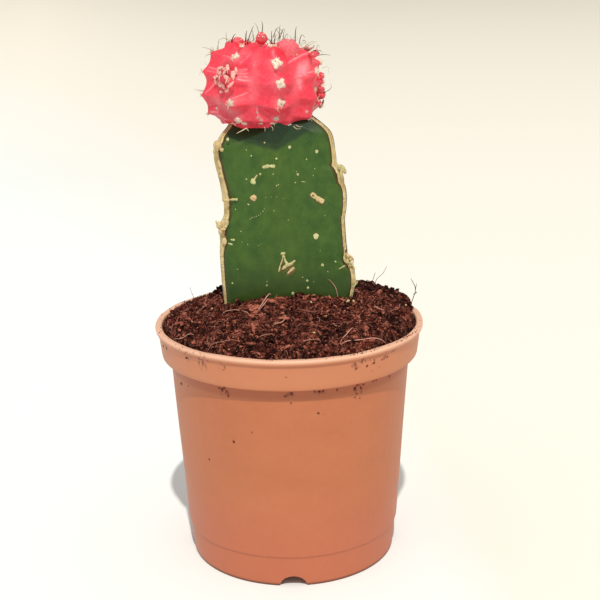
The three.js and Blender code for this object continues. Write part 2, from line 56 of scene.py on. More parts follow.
CAMERA_TARGET = np.array([3.71, 0.0, 87.23])
CAMERA_DISTANCE = 402.0
CAMERA_ELEVATION = np.radians(15.911)
CAMERA_ROLL = np.radians(1.0)
CAMERA_LENS, CAMERA_FRAME = 72.0, 36.0
KEY_PLACE = np.array([70.0, -1655.0, 2600.0])
KEY_REACH = 3015.0  # from the key lamp to the pot's rim
KEY_STRENGTH = 2.26  # watts that it sheds on each square metre facing it
KEY_SIZE, KEY_COLOUR = 0.034, (1.0, 0.955, 0.89)
STUDIO_COLOUR, STUDIO_STRENGTH = (0.945, 0.95, 0.93, 1), 0.57


def tone(red, green, blue):
    """A colour seen as 0 to 255 on a screen, as the linear colour that a shader takes"""
    seen = np.array([red, green, blue]) / 255
    linear = np.where(seen <= 0.04045, seen / 12.92, ((seen + 0.055) / 1.055) ** 2.4)
    return (*linear.tolist(), 1.0)


def add_camera():
    """Stands back from the target at the photograph's elevation, turned by its small roll"""
    back = np.array([0, -np.cos(CAMERA_ELEVATION), np.sin(CAMERA_ELEVATION)])
    right = np.array([1.0, 0, 0])
    up = np.cross(right, -back)
    c, s = np.cos(CAMERA_ROLL), np.sin(CAMERA_ROLL)
    data = bpy.data.cameras.new("camera")
    data.lens, data.sensor_width, data.clip_start = CAMERA_LENS, CAMERA_FRAME, 0.01
    camera = bpy.data.objects.new("camera", data)
    axes = np.column_stack([c * right - s * up, s * right + c * up, back])
    place = (CAMERA_TARGET + CAMERA_DISTANCE * back) * MM
    camera.matrix_world = Matrix.Translation(place) @ Matrix(axes.tolist()).to_4x4()
    bpy.context.scene.collection.objects.link(camera)
    bpy.context.scene.camera = camera


def add_key():
    """The key lamp: a small glowing ball high in front, whose light doesn't weaken with distance"""
    data = bpy.data.lights.new("key", "POINT")
    reach = KEY_REACH * MM
    data.energy = KEY_STRENGTH * 2 * TURN * reach**2
    data.shadow_soft_size, data.color = KEY_SIZE, KEY_COLOUR
    data.use_nodes = True
    nodes = data.node_tree.nodes
    steady = nodes.new("ShaderNodeLightFalloff")
    steady.inputs["Strength"].default_value = 1 / reach**2
    data.node_tree.links.new(steady.outputs["Constant"], nodes["Emission"].inputs["Strength"])
    lamp = bpy.data.objects.new("key", data)
    lamp.location = Vector(KEY_PLACE * MM)
    bpy.context.scene.collection.objects.link(lamp)


add_camera()
add_key()
world = bpy.data.worlds.new("soft studio")
bpy.context.scene.world = world
world.use_nodes = True
studio = world.node_tree.nodes["Background"].inputs
studio["Color"].default_value, studio["Strength"].default_value = STUDIO_COLOUR, STUDIO_STRENGTH
bpy.context.scene.view_settings.view_transform = "Standard"


# ---- Numbers: tables, smooth steps, outlines, and repeatable unevenness ----


def table(text, columns):
    """The rows of a table that is written as plain numbers"""
    return np.array(text.replace(",", " ").split(), float).reshape(-1, columns)


def chains(text, columns=2):
    """Rows that each hold a chain of places and, after the bar, the chain's own numbers"""
    halves = [row.split("|") for row in text.split(";")]
    return [(table(places, columns), *table(own, 1).ravel().tolist()) for places, own in halves]


def mix(a, b, share):
    return a + (b - a) * share


def unit(vectors):
    return vectors / np.linalg.norm(vectors, axis=-1, keepdims=True)


def around(turn, radius=1.0, height=0.0):
    """Places on circles round the vertical axis"""
    return np.stack(np.broadcast_arrays(radius * np.cos(turn), radius * np.sin(turn), height), axis=-1)


def leftward(turn):
    """The level direction to the left of the one that a turn points in"""
    return np.stack([-np.sin(turn), np.cos(turn), 0 * turn], axis=-1)


def apart(a, b):
    """How many degrees a is to the left of b, from -180 to 180"""
    return (a - b + 180) % 360 - 180


def square_to(ways, others):
    """Each direction without its share along another one"""
    return unit(ways - (ways * others).sum(axis=-1, keepdims=True) * others)


def frames(along, normal):
    """Matrices with the columns along, to the left of that on the surface, and out of the surface"""
    return np.stack([along, np.cross(normal, along), normal], axis=-1)


def smooth(value, low=0.0, high=1.0):
    """0 below low, 1 above high, and the smooth step 3t^2 - 2t^3 between them"""
    t = np.clip((value - low) / (high - low), 0, 1)
    return t * t * (3 - 2 * t)


def bell(distance, reach):
    """1 in the middle, and e^-1 at the reach from it"""
    return np.exp(-((distance / reach) ** 2))


def outline_at(outline, height):
    """The value at each height of an outline given as (height, value) rows: a cubic through each pair of rows
    whose slope at a row is that of the line through its two neighbours"""
    h, v = np.asarray(outline, float).T
    height = np.asarray(height, float)
    last = len(h) - 1
    after = np.clip(np.searchsorted(h, height), 1, last)
    before = after - 1
    far_before, far_after = np.maximum(before - 1, 0), np.minimum(after + 1, last)
    span = h[after] - h[before]
    t = np.clip((height - h[before]) / span, 0, 1)
    leaving = (v[after] - v[far_before]) / (h[after] - h[far_before]) * span
    arriving = (v[far_after] - v[before]) / (h[far_after] - h[before]) * span
    t2, t3 = t * t, t * t * t
    start, end = v[before] * (2 * t3 - 3 * t2 + 1), v[after] * (3 * t2 - 2 * t3)
    return start + leaving * (t3 - 2 * t2 + t) + end + arriving * (t3 - t2)


def run_of(places):
    """How far along a chain each of its places is"""
    return np.append(0, np.cumsum(np.linalg.norm(np.diff(places, axis=0), axis=1)))


def curve_through(places, t):
    """The smooth curve through a chain's places, at shares of the chain's length"""
    run = run_of(places)
    return np.column_stack([outline_at(np.column_stack([run, column]), t * run[-1]) for column in places.T])


def arcs_through(root, middle, tip, steps):
    """Parabolas, each through three places"""
    t = np.linspace(0, 1, steps)[None, :, None]
    return root[:, None] * (1 - t) * (1 - 2 * t) + 4 * middle[:, None] * t * (1 - t) + tip[:, None] * t * (2 * t - 1)


def curls(starts, ways, bends, lengths, steps):
    """Paths that leave their starts straight and bend more and more: start + length (way t + bend t^2)"""
    t = np.linspace(0, 1, steps)[None, :, None]
    return starts[:, None] + lengths[:, None, None] * (ways[:, None] * t + bends[:, None] * t**2)


def scramble(number):
    """The fraction left of a large multiple of a number's sine"""
    wave = np.sin(number) * 43758.5453
    return wave - np.floor(wave)


def relief(x, y):
    """Values from 0 to 1 that change smoothly over the plane: one random value at each whole step, blended by
    smooth steps between the four steps round a point"""
    i, j = np.floor(x), np.floor(y)
    u, v = smooth(x - i), smooth(y - j)

    def value(a, b):
        return scramble((i + a) * 127.1 + (j + b) * 311.7)

    near = value(0, 0) * (1 - u) + value(1, 0) * u
    far = value(0, 1) * (1 - u) + value(1, 1) * u
    return near * (1 - v) + far * v


def uneven(points, size, seed=0.0):
    """Values from -1 to 1 that change smoothly in space: one random value at each corner of a lattice of that
    size, blended by smooth steps between the eight corners round a point"""
    cells = np.asarray(points) / size
    low = np.floor(cells)
    share = smooth(cells - low)
    total = np.zeros(cells.shape[:-1])
    for corner in np.ndindex(2, 2, 2):
        step = np.array(corner)
        weight = np.prod(np.where(step, share, 1 - share), axis=-1)
        total += weight * scramble((low + step) @ np.array([127.1, 311.7, 74.7]) + seed)
    return 2 * total - 1


class Draws:
    """The same numbers from 0 to 1 that place the solids' crumbs and spines"""

    def __init__(self, seed):
        self.state = seed

    def __call__(self):
        self.state = (self.state * 1664525 + 1013904223) % 2**32
        return self.state / 2**32


# ---- Meshes ----


def net(rows, columns):
    """Four-sided faces between neighbours of a closed grid of points, numbered row by row. They look out of a
    surface whose columns turn to the left round the way its rows go."""
    i, j = np.meshgrid(np.arange(rows - 1), np.arange(columns), indexing="ij")
    a, b = i * columns + j, i * columns + (j + 1) % columns
    return np.stack([a, b, b + columns, a + columns], axis=-1).reshape(-1, 4)


def lids(rows, columns):
    """Fans that close a net's first and last row on two points numbered after its own"""
    j, k = np.arange(columns), (np.arange(columns) + 1) % columns
    top, hub = (rows - 1) * columns, np.full(columns, rows * columns)
    return [np.stack([hub, k, j], axis=1), np.stack([hub + 1, top + j, top + k], axis=1)]


def part(points, faces, **marks):
    """One surface: its points, its face arrays, and values for its points that the finish reads"""
    points = np.asarray(points, float).reshape(-1, 3)
    spread = {key: np.broadcast_to(np.ravel(value), len(points)).astype(np.float32) for key, value in marks.items()}
    return {"points": points, "faces": faces if isinstance(faces, list) else [faces], "marks": spread}


def piece(name, parts, finish, replaced=(), weld=0.0, flat=False):
    """A mesh object at the origin from its parts, dressed, riding on the body, in place of the named nodes"""
    mesh = bpy.data.meshes.new(name)
    points = np.concatenate([p["points"] for p in parts])
    starts = np.cumsum([0] + [len(p["points"]) for p in parts[:-1]])
    faces = [f + start for p, start in zip(parts, starts) for f in p["faces"]]
    corners = np.concatenate([f.ravel() for f in faces])
    sizes = np.concatenate([np.full(len(f), f.shape[1]) for f in faces])
    mesh.vertices.add(len(points))
    mesh.vertices.foreach_set("co", (points * MM).astype(np.float32).ravel())
    mesh.loops.add(len(corners))
    mesh.loops.foreach_set("vertex_index", corners.astype(np.int32))
    mesh.polygons.add(len(sizes))
    mesh.polygons.foreach_set("loop_start", (np.cumsum(sizes) - sizes).astype(np.int32))
    mesh.polygons.foreach_set("use_smooth", np.full(len(sizes), not flat))
    for key in parts[0]["marks"]:
        layer = mesh.attributes.new(key, "FLOAT", "POINT")
        layer.data.foreach_set("value", np.concatenate([p["marks"][key] for p in parts]))
    mesh.update(calc_edges=True)
    mesh.validate()
    if weld:
        shape = bmesh.new()
        shape.from_mesh(mesh)
        bmesh.ops.remove_doubles(shape, verts=shape.verts, dist=weld * MM)
        shape.to_mesh(mesh)
        shape.free()
    mesh.materials.append(finish)
    made = bpy.data.objects.new(name, mesh)
    bpy.context.scene.collection.objects.link(made)
    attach(made, BODY)
    if replaced:
        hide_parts(*replaced)


def ball(splits):
    """The points and faces of a ball: an icosahedron whose faces are split in four and pushed out to the ball"""
    golden = (1 + 5**0.5) / 2
    pairs = np.array([[s, t * golden] for s in (-1, 1) for t in (-1, 1)])
    points = unit(np.concatenate([np.roll(np.c_[np.zeros(4), pairs], k, axis=1) for k in range(3)]))
    gaps = np.linalg.norm(points[:, None] - points[None], axis=-1)
    near = (gaps > 1e-6) & (gaps < 1.2)
    a, b, c = np.nonzero(near[:, :, None] & near[:, None, :] & near[None])
    faces = np.stack([a, b, c], axis=1)[(a < b) & (b < c)]
    p, q, r = (points[faces[:, k]] for k in range(3))
    inward = np.einsum("ij,ij->i", np.cross(q - p, r - p), p) < 0
    faces[inward] = faces[inward][:, ::-1]
    for _ in range(splits):
        p, q, r = (points[faces[:, k]] for k in range(3))
        m, n, o = unit(p + q), unit(q + r), unit(r + p)
        corners = np.stack([p, m, o, m, q, n, o, n, r, m, n, o], axis=1).reshape(-1, 3)
        _, first, which = np.unique(np.round(corners, 6), axis=0, return_index=True, return_inverse=True)
        points, faces = corners[first], which.reshape(-1, 3)
    return points, faces


def many(points, faces, **marks):
    """The same faces for each of many copies, whose points are given copy by copy"""
    count, each = points.shape[:2]
    starts = (np.arange(count) * each)[:, None, None]
    all_faces = [(f[None] + starts).reshape(-1, f.shape[1]) for f in faces]
    marks = {key: np.repeat(np.broadcast_to(value, count), each) for key, value in marks.items()}
    return part(points, all_faces, **marks)


def tubes(paths, radii, sides=4, flatten=1.0, **marks):
    """Stalks along many paths. A point is its path's place, plus the radius times the cosine of the turn along the
    first cross direction and the sine along the second one, which flatten shortens. Ends close on their middles."""
    count, steps = paths.shape[:2]
    along = unit(np.gradient(paths, axis=1))
    guide = np.eye(3)[np.abs(paths[:, -1] - paths[:, 0]).argmin(axis=1)][:, None]
    first = unit(np.cross(along, guide))
    second = np.cross(along, first)
    turn = np.arange(sides) / sides * TURN
    rings = paths[:, :, None] + radii[:, :, None, None] * (
        np.cos(turn)[:, None] * first[:, :, None] + flatten * np.sin(turn)[:, None] * second[:, :, None]
    )
    points = np.concatenate([rings.reshape(count, -1, 3), paths[:, :1], paths[:, -1:]], axis=1)
    return many(points, [net(steps, sides), *lids(steps, sides)], **marks)


def turned(rng, count):
    """Random rotations, one matrix for each, from unit quaternions"""
    w, x, y, z = unit(rng.normal(size=(count, 4))).T
    rows = [
        [1 - 2 * (y * y + z * z), 2 * (x * y - z * w), 2 * (x * z + y * w)],
        [2 * (x * y + z * w), 1 - 2 * (x * x + z * z), 2 * (y * z - x * w)],
        [2 * (x * z - y * w), 2 * (y * z + x * w), 1 - 2 * (x * x + y * y)],
    ]
    return np.moveaxis(np.array(rows), -1, 0)


def lumps(rng, places, sizes, splits=0, rough=0.25, axes=None, **marks):
    """Uneven lumps: each point of a ball stands out by a random share, the ball is stretched along its three axes
    by the sizes, turned at random or to the given axes, and put in its place"""
    base, faces = ball(splits)
    count = len(places)
    swell = 1 + rough * (2 * rng.random((count, len(base), 1)) - 1)
    shaped = base * swell * np.asarray(sizes)[:, None, :]
    turns = turned(rng, count) if axes is None else np.broadcast_to(axes, (count, 3, 3))
    return many(np.einsum("nij,npj->npi", turns, shaped) + np.asarray(places)[:, None], [faces], **marks)


# ---- Finishes ----


def step(operation):
    """One maths node on a value and another value or a number"""
    return lambda value, other: value.nodes.maths(operation, value, other)


class Value:
    """What comes out of a node, with the sums, ramps and blends that the finishes make of it"""

    def __init__(self, nodes, socket):
        self.nodes, self.socket = nodes, socket

    __add__, __sub__, __mul__ = step("ADD"), step("SUBTRACT"), step("MULTIPLY")
    __truediv__, __pow__ = step("DIVIDE"), step("POWER")
    highest, lowest, under = step("MAXIMUM"), step("MINIMUM"), step("LESS_THAN")

    def __rsub__(self, number):
        return self.nodes.maths("SUBTRACT", number, self)

    def __rtruediv__(self, number):
        return self.nodes.maths("DIVIDE", number, self)

    def clamped(self):
        """The same, kept from 0 to 1"""
        self.socket.node.use_clamp = True
        return self

    def other(self, name):
        """Another of the same node's outputs"""
        return Value(self.nodes, self.socket.node.outputs[name])

    def ramp(self, low, high, start=0.0, end=1.0):
        """From start to end as the value goes smoothly from low to high"""
        inputs = {"Value": self, "From Min": low, "From Max": high, "To Min": start, "To Max": end}
        return self.nodes.add("MapRange", inputs, interpolation_type="SMOOTHSTEP")

    def between(self, *ends):
        """From one colour to another by this share. A colour of three numbers is one seen on a screen."""
        a, b = (c if isinstance(c, Value) or len(c) == 4 else tone(*c) for c in ends)
        return self.nodes.add("Mix", {0: self, 6: a, 7: b}, 2, data_type="RGBA", blend_type="MIX")

    def tinted(self, *tints):
        """The colour with tints blended in one after another, each a share, red, green and blue"""
        colour = self
        for share, *seen in tints:
            colour = share.between(colour, seen)
        return colour


class Nodes:
    """The nodes of one material or one group, and the shared effects at its place"""

    def __init__(self, tree):
        self.tree, self.place = tree, None

    def add(self, kind, inputs=None, out=0, **settings):
        node = self.tree.nodes.new("ShaderNode" + kind)
        for key, value in settings.items():
            setattr(node, key, value)
        for key, value in (inputs or {}).items():
            self.put(node.inputs[key], value)
        return Value(self, node.outputs[out])

    def put(self, socket, value):
        if isinstance(value, Value):
            self.tree.links.new(value.socket, socket)
        else:
            socket.default_value = value

    def maths(self, operation, a, b):
        return self.add("Math", {0: a, 1: b}, operation=operation)

    def mark(self, name):
        return self.add("Attribute", out="Fac", attribute_name=name)

    def axes(self):
        """How far right, back and up the place is"""
        right = self.add("SeparateXYZ", {"Vector": self.place})
        return right, right.other(1), right.other(2)

    def grown(self, group, scale, **inputs):
        """A shared effect at the place, which the scale stretches"""
        place = self.add("Mapping", {"Vector": self.place, "Scale": scale}) if scale else self.place
        return self.add("Group", {"Place": place, **inputs}, node_tree=group)

    def mottle(self, patch, contrast, scale=None):
        return self.grown(MOTTLE, scale, Patch=patch, Contrast=contrast)

    def grain(self, grain, depth, scale=None):
        return self.grown(GRAIN, scale, Grain=grain, Depth=depth)

    def specks(self, spacing, share, radius, scale=None):
        return self.grown(SPECKS, scale, Spacing=spacing, Share=share, Radius=radius)


def effect(name, inputs, output, build):
    """A node group with a place, named number inputs and one output, for effects that several finishes share"""
    group = bpy.data.node_groups.new(name, "ShaderNodeTree")
    group.interface.new_socket("Place", in_out="INPUT", socket_type="NodeSocketVector")
    for key, value in inputs.items():
        socket = group.interface.new_socket(key, in_out="INPUT", socket_type="NodeSocketFloat")
        socket.default_value = value
    group.interface.new_socket(output, in_out="OUTPUT", socket_type="NodeSocketFloat")
    nodes = Nodes(group)
    inside, outside = group.nodes.new("NodeGroupInput"), group.nodes.new("NodeGroupOutput")
    given = [Value(nodes, inside.outputs[key]) for key in ("Place", *inputs)]
    nodes.put(outside.inputs[0], build(nodes, *given))
    return group


def mottle_nodes(nodes, place, patch, contrast):
    """Noise of a patch size in millimetres, its contrast raised round one half"""
    noise = nodes.add("TexNoise", {"Vector": place, "Scale": 1 / patch, "Detail": 4.0, "Roughness": 0.55})
    return ((noise - 0.5) * contrast + 0.5).clamped()


def grain_nodes(nodes, place, grain, depth):
    """A bump height in millimetres: fine noise of a grain size, times the depth"""
    noise = nodes.add("TexNoise", {"Vector": place, "Scale": 1 / grain, "Detail": 3.0, "Roughness": 0.6})
    return (noise - 0.5) * depth


def speck_nodes(nodes, place, spacing, share, radius):
    """Round specks: one cell in so many has a dot, whose radius varies with the cell's own random number"""
    cells = nodes.add("TexVoronoi", {"Vector": place, "Scale": 1 / spacing})
    own = nodes.add("SeparateColor", {"Color": cells.other("Color")})
    reach = radius / spacing * own.other(1).ramp(0, 1, 0.5, 1.2)
    return own.under(share) * (cells / reach).ramp(0.7, 1.1, 1, 0)


def cell_nodes(nodes, place, size):
    """Random tone by crumb-like cell of a size in millimetres, bent by noise, and low in the gaps, which in a colour is
    a painted shade between crumbs
    """
    scale = 1 / size
    bend = nodes.add("TexNoise", {"Vector": place, "Scale": scale * 1.3, "Detail": 2.0}, "Color")
    shift = nodes.add("VectorMath", {0: bend, 1: size * 1.5}, operation="MULTIPLY")
    bent = nodes.add("VectorMath", {0: place, 1: shift}, operation="ADD")
    tones = nodes.add("TexVoronoi", {"Vector": bent, "Scale": scale}, "Color")
    gaps = nodes.add("TexVoronoi", {"Vector": bent, "Scale": scale}, feature="DISTANCE_TO_EDGE")
    # the gaps darken the tone: painted shade between the crumbs
    return nodes.add("SeparateColor", {"Color": tones}) ** 1.6 * gaps.ramp(0.02, 0.2, 0.25, 1)


MOTTLE = effect("mottle", {"Patch": 10.0, "Contrast": 1.5}, "Share", mottle_nodes)
GRAIN = effect("fine grain", {"Grain": 0.5, "Depth": 0.1}, "Height", grain_nodes)
CELLS = effect("crumb cells", {"Size": 1.0}, "Tone", cell_nodes)
SPECKS = effect("scattered specks", {"Spacing": 3.0, "Share": 0.5, "Radius": 0.3}, "Mask", speck_nodes)


def finish(name, build, **constants):
    """A material: build gives its colour, roughness, bump height in millimetres and at times a glow, and constants
    go straight on the shader"""
    material = bpy.data.materials.new(name)
    material.use_nodes = True
    nodes = Nodes(material.node_tree)
    shader = material.node_tree.nodes["Principled BSDF"]
    metres = nodes.add("TexCoord", out="Object")
    nodes.place = nodes.add("VectorMath", {0: metres, 1: (1 / MM,) * 3}, operation="MULTIPLY")
    colour, roughness, height, *glow = build(nodes)
    nodes.put(shader.inputs["Base Color"], colour)
    nodes.put(shader.inputs["Roughness"], roughness)
    nodes.put(shader.inputs["Normal"], nodes.add("Bump", {"Strength": 1.0, "Distance": MM, "Height": height}))
    if glow:
        nodes.put(shader.inputs["Emission Color"], glow[0])
        shader.inputs["Emission Strength"].default_value = 1.0
    for key, value in constants.items():
        shader.inputs[key.replace("_", " ")].default_value = value
    return material


def pot_plastic(n):
    """Moulded terracotta-coloured plastic: cloudy tone, pinker to the foot, faint rings from the mould, and a film of
    soil, drawn down in streaks, where the soiling mark is high. It also has painted light: a painted highlight that
    makes the lip paler, painted shade in the crease under the lip, the collar's painted shadow in a band under it,
    and a painted dark line of shade round the bottom of the foot."""
    _, _, height = n.axes()
    cloud = n.mottle(26, 1.7, (1, 1, 1.8))
    # painted shade: a darker line in the crease under the rolled lip
    under_lip_shade = height.ramp(77.9, 78.5) * height.ramp(79.3, 78.8)
    # painted shadow: the collar's shadow as a darker band on the wall under it
    collar_shadow = height.ramp(65.6, 67.2) * height.ramp(70.6, 70.3)
    film = (n.mottle(0.9, 3, (1, 1, 0.5)) * n.mark("soiling")).ramp(0.3, 0.95, 0, 0.85)
    dust = n.specks(6, 0.2, 0.24, (1, 1, 0.6))
    colour = cloud.between((181, 100, 59), (193, 113, 71)).tinted(
        (height.ramp(40, 12, 0, 0.6), 190, 101, 72),
        (n.mottle(2.2, 1.2) * 0.14, 214, 142, 106),
        (height.ramp(69.5, 72, 0, 0.4), 218, 146, 106),
        # painted highlight: the top of the rolled lip paler, where the light catches it
        (height.ramp(79.3, 80.5, 0, 0.9), 240, 190, 160),
        (under_lip_shade * 0.62, 172, 94, 62),
        # painted shade: a dark line round the bottom of the foot, where it meets the floor
        (height.ramp(0.2, 1.3, 0.85, 0), 74, 40, 26),
        (collar_shadow * 0.35, 148, 62, 36),
        (film.highest(dust * 0.35), 92, 36, 22),
    )
    rings, fine = n.grain(1.6, 0.05, (0.04, 0.04, 1)), n.grain(0.45, 0.02)
    return colour, cloud.ramp(0, 1, 0.42, 0.54), rings + fine + film * 0.1


def coir(n):
    """Damp coir: nearly black to fox red by lump, patch and crumb-like cell, dark in the cells' gaps as a painted shade
    between crumbs, with pale pith in places
    """
    patch, cells = n.mottle(6, 2.4), n.grown(CELLS, None, Size=0.75)
    share = (n.mark("lump") * 0.76 + patch * 0.16 + (cells - 0.22) * 0.62).ramp(0, 1)
    colour = share.between((26, 5, 3), (216, 130, 106)).tinted(
        (patch.ramp(0.55, 0.95) * 0.3, 118, 38, 28),
        (n.mottle(0.5, 2.6) * 0.35, 52, 20, 15),
        (n.specks(2.6, 0.1, 0.34) * 0.45, 190, 128, 100),
    )
    return colour, 0.93, n.grain(0.5, 0.4) + n.grain(0.16, 0.14) + cells * 0.22


def coir_thread(n):
    """Dry coir threads, from nearly black through fox red to pinkish tan by the thread"""
    lump = n.mark("lump")
    pale = n.mottle(2, 1.6).between((238, 188, 168), (198, 130, 110))
    dark = lump.ramp(0, 0.45).between((34, 18, 16), (128, 54, 40))
    return lump.ramp(0.5, 0.95).between(dark, pale), 0.8, n.grain(0.3, 0.06)


def stem_skin(n):
    """Waxy green skin: mottled, yellower down the middle of each face, brown by the horny edge, with pale pores.
    Painted light: the head's shadow as a dark vee under the graft, shade darkening the top under the head, and
    shade with the mix's brown reflection low down by the mix."""
    right, _, height = n.axes()
    beside = right + 2.9
    # over: how far a place is above the lower edge of the head's painted shadow, a vee under the graft
    over = height - 138.6 - (beside * -0.28).highest(beside * 0.6)
    fine, dots = n.mottle(0.9, 1.8), n.specks(6.5, 0.14, 0.3, (1.01, 0.97, 1.03))
    colour = n.mottle(9, 1.9, (1, 1, 0.6)).between((37, 75, 16), (62, 96, 19)).tinted(
        (n.mark("middle") * 0.35, 74, 99, 21),
        (fine * 0.4, 31, 62, 15),
        (n.mottle(3, 2.8, (1, 1, 0.8)) * 0.26, 98, 127, 46),
        # painted shadow of the head, a dark vee under the graft
        (over.ramp(-0.5, 1.3, 0, 0.72), 16, 40, 20),
        # painted shade: darker and greener to the top, under the head
        (height.ramp(140, 147, 0, 0.5), 14, 46, 28),
        # painted shade and reflection of the mix: darker and browner low down
        (height.ramp(106, 92, 0, 0.5), 42, 54, 18),
        (n.mark("rim").ramp(0.74, 0.9) * 0.9, 70, 52, 16),
        (n.specks(2.4, 0.3, 0.15) * 0.42, 122, 146, 78),
        (dots * 0.75, 170, 176, 116),
    )
    return colour, fine.ramp(0, 1, 0.4, 0.56), n.grain(1.4, 0.08) + n.grain(0.25, 0.03) + dots * 0.08


def horn(n):
    """Dry horny edge: tan straw with browner cracks and rings, and dark grooves where the scorch mark is high"""
    colour = n.mottle(5, 2).between((196, 166, 106), (232, 216, 164)).tinted(
        (n.mottle(1.6, 2.4, (1, 1, 2.2)).ramp(0.6, 0.95) * 0.55, 150, 104, 58),
        (n.mark("scorch"), 98, 66, 34),
    )
    return colour, 0.72, n.grain(0.9, 0.22, (1, 1, 2.5)) + n.grain(0.2, 0.06)


def cork(n):
    """Dry cork of the scars: pale green cream to olive, tanner where the tan mark is high"""
    patch, tan = n.mottle(1.1, 2.2), n.mark("tan")
    cream = patch.between((164, 164, 100), (214, 216, 160))
    buff = patch.between((190, 150, 98), (228, 204, 156))
    colour = tan.ramp(0, 0.5).between(cream, buff).tinted((tan.ramp(0.5, 1), 88, 70, 28))
    return colour, 0.75, n.grain(0.6, 0.16) + n.grain(0.2, 0.05)


def flesh(n):
    """Red flesh of the head: coral, paler in the furrows and along streaks and patches, of which the widest are
    painted highlights, crimson to the base, and finely clouded all over"""
    patch, break_up = n.mottle(6, 1.8), n.mottle(0.8, 2.4)
    pale = n.mark("pale") * break_up.ramp(0, 0.6, 0.45, 1)
    dull = n.mark("dull") * break_up.ramp(0.2, 0.8, 0.5, 1)
    colour = patch.between((235, 36, 66), (250, 62, 80)).tinted(
        (n.mark("height").ramp(-0.8, 0.2, 1, 0) * 0.6, 192, 38, 52),
        (n.mottle(2.6, 2.6, (1, 1, 0.7)) * 0.42, 216, 24, 54),
        (n.mottle(0.9, 2) * 0.24, 255, 132, 144),
        # pale: furrows, streaks and tuft halos, and in the widest patches a painted highlight
        (pale * 0.72, 255, 172, 178),
        (dull * 0.5, 164, 62, 60),
    )
    return colour, patch.ramp(0, 1, 0.38, 0.5), n.grain(1.3, 0.1) + n.grain(0.3, 0.04)


def wool(n):
    """Cream felt of the areoles, tan and at last nearly black on old ones"""
    age, cream = n.mark("age"), n.mottle(0.6, 1.6).between((250, 214, 186), (255, 244, 226))
    colour = cream.tinted((age.ramp(0, 0.5), 176, 112, 80), (age.ramp(0.5, 1), 58, 40, 36))
    return colour, 0.95, n.grain(0.4, 0.06)


def dry_petal(n):
    """Dried petals and flakes: cream to pinkish tan, and brown red on old ones"""
    cream = n.mottle(0.6, 2.2).between((244, 150, 142), (255, 212, 198))
    return cream.tinted((n.mark("age").ramp(0.1, 0.95), 122, 40, 42)), 0.75, n.grain(0.35, 0.08)


def spine_horn(n):
    """Spines, from pale straw to charcoal by the spine"""
    pale = n.mottle(1, 1.6).between((232, 200, 162), (246, 226, 196))
    return pale.tinted((n.mark("age"), 46, 38, 36)), 0.55, n.grain(0.4, 0.02)


def floor_paint(n):
    """Plain pale surface, white near and going to cream and then to a pale stone colour with the distance behind,
    more so to the right: a painted shade of the light falling off behind. Near is a measure that falls as one over
    the distance from under the camera, so that the change is even in the picture; aside is how far right of the
    middle a place is there. Far behind on the left a faint glow makes up for the lamp's light, which is weak there."""
    right, back, _ = n.axes()
    away = back * 0.001 + 0.387
    near = 250 / away.highest(0.343)
    aside = (right * near * 0.0048).lowest(400).highest(-400)
    slanted = (aside * 0.55).highest(aside * 1.9)
    # painted shade: cream and then stone darken the floor with distance behind, as the light falls off
    cream = ((slanted + 406 - near) * 0.006).clamped() * (away / 0.343).clamped()
    stone = (((aside * 0.24 + 208).lowest(222) - near) * 0.0056).clamped()
    pale = n.mottle(160, 0.8).between((246, 251, 249), (248, 253, 252))
    lit = ((215 - near) / 170).clamped() * ((100 - aside) / 350).clamped() ** 2
    glow = lit.between((0, 0, 0, 1), (0.165, 0.14, 0.1, 1))
    return pale.tinted((cream, 250, 245, 234), (stone, 252, 245, 228)), 0.9, 0.0, glow


POT_PLASTIC = finish("pot plastic", pot_plastic, IOR=1.48)
COIR = finish("coir mix", coir, IOR=1.2)
COIR_THREAD = finish("coir threads", coir_thread, IOR=1.3)
STEM_SKIN = finish("waxy stem skin", stem_skin, IOR=1.4, Coat_Weight=0.05, Coat_Roughness=0.4)
HORN = finish("horny edge", horn, IOR=1.35)
CORK = finish("cork scars", cork, IOR=1.35)
FLESH = finish("head flesh", flesh, IOR=1.38, Subsurface_Weight=0.15, Subsurface_Scale=0.0015)
WOOL = finish("areole wool", wool, IOR=1.25, Subsurface_Weight=0.5, Subsurface_Scale=0.0006,
              Subsurface_Radius=(1.0, 0.85, 0.75))
PETAL = finish("dried petals", dry_petal, IOR=1.3)
SPINE = finish("spines", spine_horn, IOR=1.4)
FLOOR = finish("pale floor", floor_paint, IOR=1.3)


# ---- Pot ----

POT_HEIGHT = 81.0
FOOT_RADIUS, RECESS_RADIUS = 34.8, 33.6
BAND_HEIGHT, BAND_RADIUS = 10.5, 35.7
PLATE_UNDER, PLATE_TOP = 3.9, 5.1
NOTCH_WIDTH, NOTCH_HEIGHT, NOTCH_RADIUS = 9.2, 3.6, 34.8
HOLE_RADIUS, HOLE_RING, MIDDLE_HOLE = 3.5, 24.0, 4.5
DENT_TURN, DENT_HEIGHT = np.radians(-13), 49.0
QUARTERS, QUARTER = 4, TURN / 4
SECTION_STEP, CORNER_STEPS = 1.7, 5
# Radius, height and rounding of the section's corners: from the recess under the plate to the rim and down inside
POT_SECTION = table("""
    33.6 3.9 0, 33.6 0 0.2, 34.8 0 0.25, 35.7 10.5 0.12, 36.2 11 0.2, 40.2 70.4 0.35, 42.9 70.4 0.6, 43.85 78.3 0.8,
    44.9 79.6 0.6, 45 81 0.6, 42.75 81 0.6, 41.9 71.6 1, 39 69.8 1, 35 11 1, 33.6 5.1 0
""", 3)
